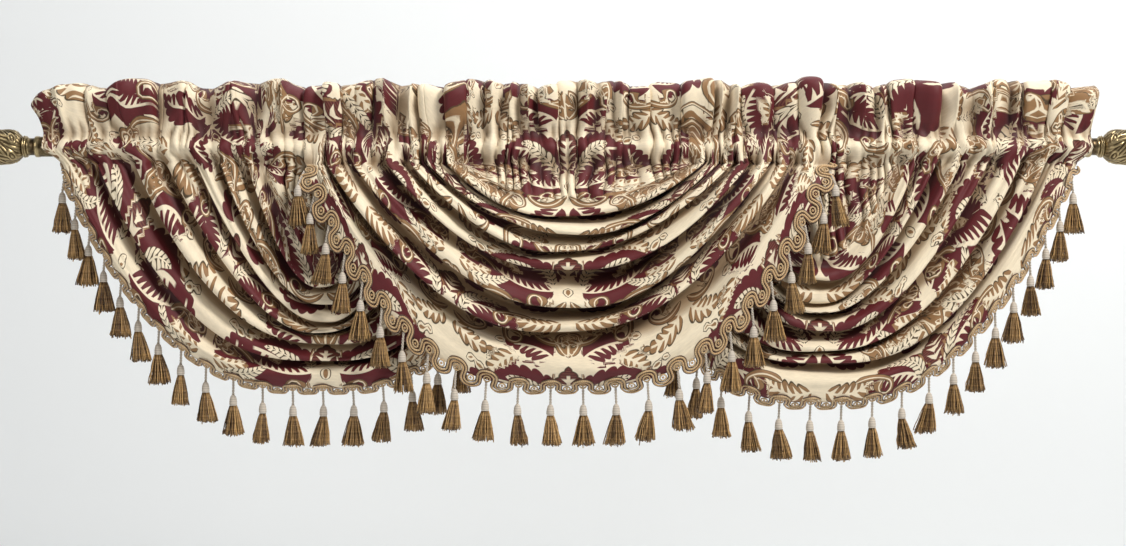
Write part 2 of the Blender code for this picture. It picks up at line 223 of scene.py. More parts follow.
def flowing(keys, steps):
    """Rows blended between key rows with a Catmull-Rom curve, steps rows to each stretch.

    Each stretch is a cubic that passes through its two keys, and its slope at a key is half the
    difference of that key's neighbours.
    """
    last = len(keys) - 1
    place = np.linspace(0, last, last * steps + 1)
    index = np.minimum(place.astype(int), last - 1)
    share = (place - index)[:, None]
    before, start, end, after = (keys[np.clip(index + step, 0, last)] for step in (-1, 0, 1, 2))
    bend = 2 * before - 5 * start + 4 * end - after + share * (3 * (start - end) + after - before)
    return start + 0.5 * share * (end - before + share * bend)


def key_rows(folds):
    """Key rows down a swag: the table's folds with five steps for each roll."""
    table = np.array([(*fold[1:], 0.0, number) for number, fold in enumerate(folds)], dtype=float)
    table[-2:, 5] = HEM_CURL_SHARES
    rows = [table[0]]
    last_roll = len(folds) - 4
    for index in range(1, last_roll + 1):
        above, fold, below = table[index - 1], table[index], table[index + 1]
        for step in FOLD_STEPS:
            neighbour = below if step.shift > 0.0 else above
            row = fold + abs(step.shift) * (neighbour - fold)
            row[4] = step.relief * fold[4]
            rows.append(row)
    rows.extend(table[last_roll + 1:])
    return np.array(rows)


def all_rows(keys):
    """Rows down a swag, closer together on the band above the hem."""
    coarse, fine = flowing(keys, ROWS_PER_STEP), flowing(keys, ROWS_PER_BAND_STEP)
    coarse_in_band, fine_in_band = BAND_STEPS * ROWS_PER_STEP + 1, BAND_STEPS * ROWS_PER_BAND_STEP + 1
    return np.concatenate([coarse[:-coarse_in_band], fine[-fine_in_band:]])


def edge_row(keys, share):
    """A row between the braid's upper line and the hem."""
    return keys[-2] + share * (keys[-1] - keys[-2])


# %% [markdown]
# ## Hanging cloth
# Real folds are never even: a roll grows and shrinks along its length, its crest wanders, and
# close to the pocket it splits into small gathers. Sums of sine waves with unrelated lengths
# give that unevenness, and they give the same result every time.
#
# Thick cloth lets hardly any light down into its folds, so the depth of each valley is measured here too. The
# material darkens the cloth by it, which is painted shade in the folds, and it stays the same from every
# side.

# %% Points of a swag
RELIEF_VARIES = 0.30
CREST_WANDERS = 4.0
SMALL_GATHERS = 4.2
SMALL_GATHERS_REACH = 60.0
TROUGH_SOON = 9.0
GATHERS_PER_FOLD = 2.6
CREASE_DEPTH = 0.8
# Painted shade: how deep a valley must lie to be shaded fully, and the windows of rows by columns that its
# depth is measured against
VALLEY_DEEP = 3.4
SWAG_WINDOW, HEADING_WINDOW = (25, 7), (7, 21)

# Waves of unevenness: radians to a fold, radians to a half width, and times the swag's phase
Wave = namedtuple("Wave", "fold across phase")
WANDER_WAVE = Wave(2.3, 3.1, 1.0)
VARIED_WAVES = (Wave(1.9, 2.7, 2.0), Wave(3.4, -5.3, 1.0))
VARIED_SECOND = 0.6
SPLIT_WAVE, SPLIT_WANDERS = Wave(2.2, 0.0, 1.0), 0.25
CREASE_WAVES = (Wave(9.0, 17.0, 0.0), Wave(-4.0, 31.0, 0.0))


def ripple(wave, fold, across, phase):
    """A sine wave that runs down the folds and across the swag."""
    return np.sin(wave.fold * fold + wave.across * across + wave.phase * phase)


def swag_points(swag, rows, across):
    """Points of a swag in millimetres, rows by columns.

    Each row is a hanging curve: its drop falls away from the middle as one minus the distance to
    the power of its bow. The depth is the top edge's, plus a swell that grows with the drop, plus
    the relief of the fold.
    """
    row = SwagRow(*(rows[:, [column]] for column in range(rows.shape[1])))
    last = len(swag.folds) - 1
    ease = np.clip(row.fold, 0.0, 1.0) * np.clip(last - 1.0 - row.fold, 0.0, 1.0)
    wander = ripple(WANDER_WAVE, row.fold, across, swag.phase)
    varied = (ripple(VARIED_WAVES[0], row.fold, across, swag.phase)
              + VARIED_SECOND * ripple(VARIED_WAVES[1], row.fold, across, swag.phase))
    reach = np.where(across < 0.0, row.left, row.right)
    x = swag.middle + reach * across
    rounded = np.hypot(across, BOTTOM_ROUND) - BOTTOM_ROUND
    rounded = rounded / (math.hypot(1.0, BOTTOM_ROUND) - BOTTOM_ROUND)
    hang = (row.drop + CREST_WANDERS * wander * ease) * (1.0 - rounded ** row.bow)
    grown = 1.0 - np.exp(-hang / swag.soon)
    cover = np.clip((swag.covered * across - COVER_STARTS) / (COVER_ENDS - COVER_STARTS), 0.0, 1.0)
    swell = swag.swell * grown * (1.0 - (1.0 - COVERED_SWELL) * cover)
    stands = END_RELIEF + (1.0 - END_RELIEF) * grown
    stands = np.where(row.relief < 0.0, 1.0 - np.exp(-hang / TROUGH_SOON), stands)
    flatter = 1.0 - (1.0 - COVERED_RELIEF) * cover
    fold = row.relief * stands * flatter * (1.0 + RELIEF_VARIES * varied * ease)
    apart = SPLIT_WANDERS * ripple(SPLIT_WAVE, row.fold, across, swag.phase)
    split = np.cos(math.tau * (GATHERS_PER_FOLD * row.fold + apart))
    gathers = SMALL_GATHERS * np.exp(-hang / SMALL_GATHERS_REACH) * split * ease
    crease = CREASE_DEPTH * ease
    for wave in CREASE_WAVES:
        crease = crease * ripple(wave, row.fold, across, swag.phase)
    curled = swag.curl * row.curl * np.exp(-(across / CURL_REACH) ** 2)
    y = -(swag.top_depth + swell + fold + gathers + crease - curled)
    z = SWAG_TOP - hang
    return np.stack(np.broadcast_arrays(x, y, z), axis=2)


def arc_lengths(points, axis):
    """Length along the rows or columns of a grid of points, from the first one."""
    steps = np.linalg.norm(np.diff(points, axis=axis), axis=2)
    lengths = np.cumsum(steps, axis=axis)
    start = np.zeros_like(np.take(lengths, [0], axis=axis))
    return np.concatenate([start, lengths], axis=axis)


def box_mean(values, width, axis):
    """Mean of a grid of values over a window along one axis."""
    pad = [(0, 0), (0, 0)]
    pad[axis] = (width // 2, width // 2)
    padded = np.pad(values, pad, mode="edge")
    return np.apply_along_axis(np.convolve, axis, padded, np.full(width, 1.0 / width), "valid")


def valley_share(grid, window):
    """How deep each point of a grid lies in a valley, from 0 to 1.

    It is one less the exponential of minus its depth behind the mean of a window round it, which
    is so many rows by so many columns.
    """
    behind = grid[..., 1] - box_mean(box_mean(grid[..., 1], window[0], 0), window[1], 1)
    return 1.0 - np.exp(-np.maximum(behind, 0.0) / VALLEY_DEEP)


# %% [markdown]
# ## Gathers below the pocket
# Between the pocket and the first fold the cloth hangs straight down in small gathers. A gather
# is round on top and sharp in the valley, which the absolute value of a sine gives.

# %% Gathers
GATHER_PITCH = 14.0
GATHER_ROUND = 0.6
GATHER_ROWS = 16
GATHER_DEPTH, GATHER_SWELLS, GATHER_SWELL_STARTS = 12.0, 7.0, 0.1
GATHER_MEAN = 0.35
GATHER_FADE = 12.0

# How the gathers wander, in gathers and in millimetres along the rod and down
WANDER_LONG, WANDER_LONG_LENGTH = 0.42, 37.0
WANDER_SHORT, WANDER_SHORT_LENGTH = 0.30, 11.3
SLANT, SLANT_LENGTH, SLANT_DROP = 0.16, 29.0, 10.0
CREST_MEAN, CREST_VARIES, CREST_LENGTH, CREST_DROP = 0.66, 0.34, 17.0, 21.0


def gathering(x, z):
    """Gathers from 0 in a valley to 1 on a crest: the absolute sine of a place along the rod that
    wanders with x and z, so that gathers merge and part."""
    place = x / GATHER_PITCH + WANDER_LONG * np.sin(x / WANDER_LONG_LENGTH + 1.0)
    place = place + WANDER_SHORT * np.sin(x / WANDER_SHORT_LENGTH)
    place = place + SLANT * np.sin(z / SLANT_DROP + x / SLANT_LENGTH)
    crest = CREST_MEAN + CREST_VARIES * np.sin(x / CREST_LENGTH + 0.8 * np.sin(z / CREST_DROP))
    return np.abs(np.sin(math.pi * place)) ** GATHER_ROUND * crest


def gather_rows(swag, shoulder):
    """Rows from the pocket straight down to the shoulder, waved in depth by the gathers."""
    level = np.ones(len(shoulder))
    top = np.stack([shoulder[:, 0], -swag.top_depth * level, SWAG_TOP * level], axis=1)
    share = np.linspace(0.0, 1.0, GATHER_ROWS)[:-1, None]
    lines = top[None] + share[..., None] * (shoulder - top)[None]
    swell = np.clip(share * (1.0 - GATHER_SWELL_STARTS) + GATHER_SWELL_STARTS, 0.0, 1.0)
    depth = GATHER_DEPTH + GATHER_SWELLS * np.sin(math.pi * swell)
    fade = np.clip((SWAG_TOP - shoulder[:, 2]) / GATHER_FADE, 0.0, 1.0)
    lines[..., 1] -= depth * fade * (gathering(lines[..., 0], lines[..., 2]) - GATHER_MEAN)
    return lines


# %% [markdown]
# ## Heading
# Above the swags, the cloth runs up the front of the rod, over the crown of the ruffle and down
# behind it, where it is sewn to the front again, so the rod lies in a pocket. One section is
# carried along the rod. Its lower rows blend into the folds of the swag below, and its
# upper rows open into the broad pleats of the ruffle, each as wide as the real one.

# %% Heading section
HEADING_LEFT, HEADING_RIGHT = -700.0, 711.0
PLEAT_WIDTHS = (
    63, 30, 63, 72, 61, 63, 30, 23, 38, 35, 30, 35, 28, 23, 20, 28, 26, 27, 26, 22, 27,
    19, 28, 42, 43, 20, 20, 42, 34, 27, 42, 35, 22, 26, 36, 46, 49, 18, 30, 23, 40,
)
HeadingRow = namedtuple("HeadingRow", "depth height pleat side crown ruffle")
HEADING_ROWS = (
    HeadingRow(-8.5, -25.4, 16.0, -1, 0, 0.35),
    HeadingRow(-15.6, -3.0, 16.0, -1, 0, 0.35),
    HeadingRow(-3.0, 18.0, 15.0, -1, 0, 0.30),
    HeadingRow(-4.0, 48.0, 22.0, -1, 0.4, 1),
    HeadingRow(-5.0, 80.0, 25.0, -1, 1, 1),
    HeadingRow(-1.0, 84.0, 19.0, 1, 1, 1),
    HeadingRow(2.5, 52.0, 9.0, 1, 0.4, 1),
    HeadingRow(5.5, 21.5, 2.5, 1, 0, 0.3),
    HeadingRow(19.5, -1.0, 4.0, 1, 0, 0),
    HeadingRow(12.0, -17.5, 2.5, 1, 0, 0),
    HeadingRow(-7.5, -22.8, 0.6, 1, 0, 0),
)
HEADING_STEPS = 4
RIM_BLEND = 24.0
CROWN_LEAN, LEAN_TURNS = 3.0, (61.0, 143.0)
CROWN_WAVE, WAVE_TURNS = 3.5, (0.043, 0.097)
CROWN_SECOND = 0.7
CROWN_DIP, DIP_SHARP = 9.0, 1.5
CROWN_FLARE_LEFT, CROWN_FLARE_RIGHT, CROWN_FLARE_REACH = 19.0, 12.0, 50.0
CROWN_DROOP_LEFT, CROWN_DROOP_REACH = 26.0, 18.0

# A pleat: how square and how round its dome is, its least and varying height, its small ripples,
# and the share of its width by which it hangs over a neighbour, up to a widest one
PLEAT_SQUARE, PLEAT_ROUND = 2.6, 0.62
PLEAT_MEAN, PLEAT_VARIES = 0.74, 0.26
PLEAT_RIPPLE, RIPPLE_LENGTH = 0.13, 4.1
PLEAT_OVERHANG, WIDEST_OVERHANG = 0.20, 40.0


def smoothstep(value):
    """Ease from 0 to 1: three times the square less twice the cube."""
    value = np.clip(value, 0.0, 1.0)
    return value * value * (3.0 - 2.0 * value)


def broad_pleats(x):
    """Broad pleats at places along the rod: bulge from 0 to 1, sideways lean, and pleat numbers.

    Each pleat is a dome over its own width, one minus a power of the distance to its middle.
    Sines of the pleat's number make some pleats lower, and lean some to the left.
    """
    widths = np.array(PLEAT_WIDTHS, dtype=float)
    gone = np.concatenate([[0.0], np.cumsum(widths)])
    edges = HEADING_LEFT + gone * (HEADING_RIGHT - HEADING_LEFT) / widths.sum()
    number = np.clip(np.searchsorted(edges, x, side="right") - 1, 0, len(widths) - 1)
    width = edges[number + 1] - edges[number]
    place = np.clip((x - edges[number]) / width, 0.0, 1.0)
    dome = (1.0 - np.abs(2.0 * place - 1.0) ** PLEAT_SQUARE) ** PLEAT_ROUND
    level = PLEAT_MEAN + PLEAT_VARIES * np.sin(3.7 * number + 0.6)
    ripples = PLEAT_RIPPLE * np.sin(place * width / RIPPLE_LENGTH + number) * dome
    side = np.where(np.sin(5.1 * number + 0.3) > 0.0, 1.0, -1.0)
    lean = side * PLEAT_OVERHANG * np.minimum(width, WIDEST_OVERHANG) * np.sin(math.tau * place)
    return level * dome + ripples, lean, number


def heading_rows(rim, ends):
    """Rows of the heading above a rim of points, from the pocket's lower edge round to its back.

    Above the rim the columns are stretched so that the first and last lie at the ends. The depth
    of a row is its own less its pleat times the bulge there, blended into the rim's near it.
    """
    table = flowing(np.array(HEADING_ROWS, dtype=float), HEADING_STEPS)
    rows = HeadingRow(*table.T[:, :, None])
    start, stop = rim[0, 0], rim[-1, 0]
    x = rim[None, :, 0]
    row_height = rows.height + 0.0 * x
    above = smoothstep((row_height - SWAG_TOP) / RIM_BLEND)
    stretched = ends[0] + (x - start) * (ends[1] - ends[0]) / (stop - start)
    x = x + above * (stretched - x)
    pleat, overhang, _ = broad_pleats(x)
    fine = gathering(x, row_height)
    bulge = rows.ruffle * pleat + (1.0 - rows.ruffle) * fine
    depth = rows.depth - rows.pleat * bulge + rows.pleat * (rows.side + 1.0) / 2.0
    front = np.clip((1.0 - rows.side) / 2.0, 0.0, 1.0)
    blend = smoothstep((row_height - rim[None, :, 2]) / RIM_BLEND)
    blend = np.where(rows.side < 0.0, blend, 1.0)
    depth = rim[None, :, 1] + blend * (depth - rim[None, :, 1])
    from_left, from_right = x - HEADING_LEFT, HEADING_RIGHT - x
    flare = (CROWN_FLARE_RIGHT * np.exp(-from_right / CROWN_FLARE_REACH)
             - CROWN_FLARE_LEFT * np.exp(-from_left / CROWN_FLARE_REACH))
    droop = CROWN_DROOP_LEFT * np.exp(-from_left / CROWN_DROOP_REACH)
    place = (x - HEADING_LEFT) / (HEADING_RIGHT - HEADING_LEFT)
    lean = CROWN_LEAN * (np.sin(place * LEAN_TURNS[0]) + CROWN_SECOND * np.sin(place * LEAN_TURNS[1] + 2.0))
    wave = CROWN_WAVE * (np.sin(x * WAVE_TURNS[0]) + CROWN_SECOND * np.sin(x * WAVE_TURNS[1] + 1.0))
    dip = CROWN_DIP * front * np.clip(1.0 - pleat, 0.0, 1.0) ** DIP_SHARP
    along = x + rows.crown * (lean + flare) + rows.ruffle * front * overhang
    height = row_height + rows.crown * (wave - droop - dip)
    grid = np.stack(np.broadcast_arrays(along, depth, height), axis=2)
    return grid[1:]


# %% [markdown]
# ## Damask pattern
# The cloth is a furnishing damask: a cream ground with burgundy leaves, tan fronds, thin scrolls,
# ears of grain and berries, mirrored on both sides of an axis. A picture of it would blur close
# up. Here every motif is an arc with a width, worked out on the flat cloth, and the cloth's
# corners carry the distance along and across the nearest arc. The shader then draws sharp
# outlines, veins and cuts from those smooth numbers. The pattern is a general one of its kind.

# %% Motifs
HALF_REPEAT, REPEAT = 165.0, 330.0
MIRRORS = ((1, 0.0), (-1, 0.0), (-1, 2 * HALF_REPEAT))
STRAIGHT_TURN = 0.05
NO_MOTIF, NEAR_LIMIT = 99.0, 6.0
LEAF, FROND, PATCH, SCROLL, GRAIN, BERRY = range(6)

# A motif starts at a place on the flat cloth, in millimetres from the mirror axis and down, and
# grows at an angle (0 outwards, 90 down) along one or more arcs of a turn in degrees and a length
Motif = namedtuple("Motif", "kind across down angle width arcs")
GROUND_MOTIFS = (
    Motif(PATCH, 0, 196, -90, 27, ((0, 66),)),
    Motif(LEAF, 14, 204, -62, 33, ((82, 126),)),
    Motif(LEAF, 18, 222, 12, 29, ((-70, 116),)),
    Motif(LEAF, 20, 118, -48, 21, ((70, 72),)),
    Motif(LEAF, 8, 258, 66, 21, ((-70, 82),)),
    Motif(LEAF, 156, 214, -148, 26, ((62, 84),)),
    Motif(FROND, 158, 226, 172, 14, ((52, 66),)),
    Motif(FROND, 70, 118, 24, 13, ((50, 62),)),
    Motif(LEAF, 150, 300, -160, 19, ((58, 62),)),
    Motif(FROND, 62, 262, 28, 18, ((-110, 98),)),
    Motif(FROND, 6, 18, 28, 18, ((-95, 92),)),
    Motif(PATCH, 165, 30, -90, 23, ((0, 58),)),
    Motif(LEAF, 152, 40, -126, 27, ((-86, 110),)),
    Motif(LEAF, 150, 62, 172, 23, ((74, 102),)),
    Motif(FROND, 158, 96, 120, 15, ((80, 70),)),
    Motif(FROND, 160, -48, -120, 14, ((-90, 62),)),
    Motif(FROND, 92, 168, 152, 14, ((-66, 64),)),
)
LINE_MOTIFS = (
    Motif(GRAIN, 20, 205, -84, 8.5, ((84, 88),)),
    Motif(SCROLL, 0, 118, -90, 7.3, ((0, 30),)),
    Motif(SCROLL, 3, 116, -40, 5.5, ((-60, 34), (-230, 34))),
    Motif(SCROLL, 3, 240, 60, 6.1, ((-95, 52), (-250, 40))),
    Motif(BERRY, 0, 232, -90, 7.5, ((0, 18),)),
    Motif(GRAIN, 146, 40, -92, 8, ((-84, 78),)),
    Motif(SCROLL, 165, -52, -90, 7.3, ((0, 30),)),
    Motif(SCROLL, 162, -50, -140, 5.5, ((60, 32), (230, 34))),
    Motif(SCROLL, 160, 84, 130, 5.5, ((90, 50), (240, 38))),
    Motif(BERRY, 165, 72, -90, 7.5, ((0, 18),)),
    Motif(SCROLL, 70, 250, -30, 6.1, ((70, 60), (280, 52))),
    Motif(SCROLL, 84, 300, -60, 5.9, ((-80, 56), (-270, 50))),
    Motif(SCROLL, 60, 44, 20, 5.9, ((85, 56), (260, 50))),
    Motif(SCROLL, 48, 8, -30, 5.9, ((75, 52), (270, 44))),
    Motif(SCROLL, 128, 168, 100, 5.1, ((-70, 40), (-250, 36))),
    Motif(GRAIN, 92, 276, 5, 8, ((-50, 60),)),
    Motif(GRAIN, 28, 44, 70, 7.5, ((-60, 56),)),
    Motif(BERRY, 112, 150, -20, 6.5, ((0, 15),)),
    Motif(BERRY, 126, 140, 20, 5.5, ((0, 13),)),
    Motif(BERRY, 34, 82, -20, 6, ((0, 14),)),
    Motif(SCROLL, 98, 208, -64, 5.6, ((84, 48), (262, 40))),
    Motif(SCROLL, 152, 262, -150, 5.6, ((-80, 50), (-255, 40))),
    Motif(SCROLL, 8, 96, 8, 5.4, ((-72, 48), (-245, 36))),
    Motif(GRAIN, 132, 236, 176, 7.5, ((60, 60),)),
    Motif(BERRY, 84, 96, 10, 6, ((0, 14),)),
)


def motif_outline(kind, share):
    """Half width of a motif at a share of its length, as a part of its full half width."""
    share = np.clip(share, 0.0, 1.0)
    if kind in (LEAF, FROND, PATCH):
        return np.sin(math.pi * share ** 0.72) ** 0.8
    if kind == SCROLL:
        stem = (1.0 - 0.7 * share) * np.minimum(1.0, 8.0 * share) ** 0.5
        return stem + np.exp(-((share - 0.95) / 0.05) ** 2)
    if kind == GRAIN:
        return np.sin(math.pi * (0.12 + 0.84 * share)) ** 0.45
    return np.sqrt(1.0 - (2.0 * share - 1.0) ** 2)


def along_arcs(motif, across, down):
    """Distance along and across a motif's arcs, and how far outside their ends a place lies.

    Round the centre of an arc, the angle times the radius is the distance along it, and the
    radius less the distance to the centre is the distance across it.
    """
    x, y, heading = motif.across, motif.down, math.radians(motif.angle)
    best = np.full(across.shape, np.inf)
    along, beside, beyond = np.zeros_like(best), np.zeros_like(best), np.zeros_like(best)
    done = 0.0
    for turn, length in motif.arcs:
        turn = math.radians(turn)
        ahead = np.array([math.cos(heading), math.sin(heading)])
        normal = np.array([-ahead[1], ahead[0]])
        dx, dy = across - x, down - y
        if abs(turn) < STRAIGHT_TURN:
            s, t = dx * ahead[0] + dy * ahead[1], dx * normal[0] + dy * normal[1]
            chord = length
        else:
            sign, radius = math.copysign(1.0, turn), length / abs(turn)
            cx, cy = dx - sign * radius * normal[0], dy - sign * radius * normal[1]
            onward, aside = cx * ahead[0] + cy * ahead[1], -sign * (cx * normal[0] + cy * normal[1])
            angle = np.arctan2(onward, aside)
            half = abs(turn) / 2
            angle = (angle - half + math.pi) % math.tau - math.pi + half
            s, t = angle * radius, radius - np.hypot(cx, cy)
            chord = 2 * radius * math.sin(half)
        out = np.maximum(np.maximum(-s, s - length), 0.0)
        nearer = np.abs(t) + out < best
        best = np.where(nearer, np.abs(t) + out, best)
        along = np.where(nearer, done + s, along)
        beside = np.where(nearer, t, beside)
        beyond = np.where(nearer, out, beyond)
        x += chord * math.cos(heading + turn / 2)
        y += chord * math.sin(heading + turn / 2)
        heading += turn
        done += length
    return along, beside, beyond, done


def motif_fields(flat, motifs):
    """Two vectors for each place on the flat cloth, about the motif that is nearest to it.

    The first holds the distance along its arcs, the distance across them and its half width
    there. The second holds its kind, how safely the place belongs to it, and the share of its
    length.
    """
    across = np.abs((flat[:, 0] + HALF_REPEAT) % (2 * HALF_REPEAT) - HALF_REPEAT)
    down = flat[:, 1] % REPEAT
    best, second = np.full(len(flat), NO_MOTIF), np.full(len(flat), NO_MOTIF)
    place, kind = np.zeros((len(flat), 3)), np.zeros((len(flat), 3))
    for motif in motifs:
        symmetric = motif.across in (0, HALF_REPEAT) and motif.arcs[0][0] == 0
        for sign, origin in MIRRORS[:1] if symmetric else MIRRORS:
            for wrap in (-REPEAT, 0.0, REPEAT):
                s, t, out, length = along_arcs(motif, (across - origin) * sign, down - wrap)
                share = s / length
                room = motif.width * motif_outline(motif.kind, share)
                distance = np.maximum(np.abs(t) - room, 0.0) + out
                depth = np.minimum(distance, distance + (np.abs(t) - room) * (distance <= 0.0))
                nearer = depth < best
                second = np.where(nearer, best, np.minimum(second, depth))
                best = np.where(nearer, depth, best)
                place[nearer] = np.stack([s, t, room - out], axis=1)[nearer]
                kind[nearer] = np.stack([np.full(len(s), motif.kind), s, share], axis=1)[nearer]
    kind[:, 1] = np.minimum(NEAR_LIMIT - best, 1.5 * (second - best) - 1.0)
    return place, kind


# %% [markdown]
# ## Shader nodes from short calls
# A shader that draws a pattern needs many small Math nodes. This helper adds them with short
# calls, so that the code reads like a formula.


# %% Node helper
class Nodes:
    """Adds nodes to a node tree. Its calls take sockets or plain numbers and return a socket."""

    def __init__(self, tree):
        self.tree = tree

    def add(self, kind, values=(), output=0, **settings):
        node = self.tree.nodes.new(kind)
        for name, value in settings.items():
            setattr(node, name, value)
        for key, value in (values.items() if isinstance(values, dict) else enumerate(values)):
            self.set(node.inputs[key], value)
        return node.outputs[output]

    def set(self, socket, value):
        if isinstance(value, bpy.types.NodeSocket):
            self.tree.links.new(value, socket)
        elif value is not None:
            socket.default_value = value

    def math(self, operation, *values, clamp=False):
        return self.add("ShaderNodeMath", values, operation=operation, use_clamp=clamp)

    def parts(self, vector):
        node = self.add("ShaderNodeSeparateXYZ", (vector,)).node
        return node.outputs

    def times(self, vector, factor):
        """A vector or colour times another one, part by part."""
        return self.add("ShaderNodeVectorMath", (vector, factor), operation="MULTIPLY")

    def bump(self, height, strength, distance):
        """A normal that is tilted by a height, which stands for a distance in metres."""
        return self.add("ShaderNodeBump", {"Height": height, "Strength": strength, "Distance": distance})

    def ramp(self, value, edge, width, low, high):
        """A value that goes from low to high across an edge of a soft width."""
        span = {"From Min": edge - width / 2, "From Max": edge + width / 2}
        return self.add("ShaderNodeMapRange", {"Value": value, **span, "To Min": low, "To Max": high})

    def rise(self, value, edge, width):
        """0 below an edge and 1 above it."""
        return self.ramp(value, edge, width, 0.0, 1.0)

    def fall(self, value, edge, width):
        """1 below an edge and 0 above it."""
        return self.ramp(value, edge, width, 1.0, 0.0)

    def all(self, *masks):
        """The product of masks."""
        product = masks[0]
        for mask in masks[1:]:
            product = self.math("MULTIPLY", product, mask)
        return product

    def mix(self, mask, below, above):
        return self.add("ShaderNodeMix", {0: mask, 6: below, 7: above}, output=2, data_type="RGBA")

    def field(self, name):
        return self.add("ShaderNodeAttribute", output=1, attribute_name=name)


def new_group(name, inputs, outputs):
    """A node group with named sockets, and its helper, input and output nodes."""
    tree = bpy.data.node_groups.new(name, "ShaderNodeTree")
    kinds = {"colour": "NodeSocketColor", "value": "NodeSocketFloat", "vector": "NodeSocketVector"}
    for label, kind, default in inputs:
        socket = tree.interface.new_socket(name=label, in_out="INPUT", socket_type=kinds[kind])
        if default is not None:
            socket.default_value = default
    for label, kind in outputs:
        tree.interface.new_socket(name=label, in_out="OUTPUT", socket_type=kinds[kind])
    return Nodes(tree), tree.nodes.new("NodeGroupInput"), tree.nodes.new("NodeGroupOutput")


def linear(red, green, blue, alpha=1.0):
    """A colour picked on a screen, from 0 to 255, as the linear colour that Blender works in."""
    share = np.array([red, green, blue]) / 255.0
    share = np.where(share <= 0.04045, share / 12.92, ((share + 0.055) / 1.055) ** 2.4)
    return (*(float(part) for part in share), alpha)


# %% [markdown]
# ## Drawing the damask
# First the ground motifs: the outline of a leaf is cut into lobes, and cream flames run out from
# its rib. Then the line motifs lie over them, such as scrolls with an olive edge. Each step
# mixes one colour over those below it.

# %% Damask group
CREAM = linear(241, 225, 196)
BURGUNDY = linear(92, 10, 18)
TAN = linear(150, 112, 72)
OLIVE = linear(78, 60, 34)
BRICK = linear(84, 24, 20)
BRICK_LIGHT = linear(150, 92, 66)
# Painted shade: the colour that the cloth is multiplied by in the deepest valleys of its folds
VALLEY_PAINTED_SHADE = (0.36, 0.28, 0.21, 1.0)
PLAIN = (1.0, 1.0, 1.0, 1.0)

# Lobes cut into an outline, the flames and rib that are cut out of a leaf, a patch's hatching,
# and the husks of an ear of grain, in millimetres; ENDS are shares of a motif's length
LOBE_LENGTH, LOBE_SLANT, LOBE_DEPTH, PLAIN_LOBES = 14.0, -0.7, 5.2, 0.55
BORDER = -2.2
FLAME_PITCH, FLAME_SLANT, FLAME_NARROWS, FLAME_HALF = 10.5, -0.75, -0.30, 4.0
FLAME_ENDS, RIB_ENDS, RIB_HALF = 0.72, 0.80, 1.6
HATCH_PITCH, HATCH_SHOWS = 1.7, 0.35
GRAIN_PITCH, GRAIN_SLANT, HUSK_MIDDLE, HUSK_CURVE, HUSK_HALF = 8.0, -0.9, 4.6, 0.24, -3.2


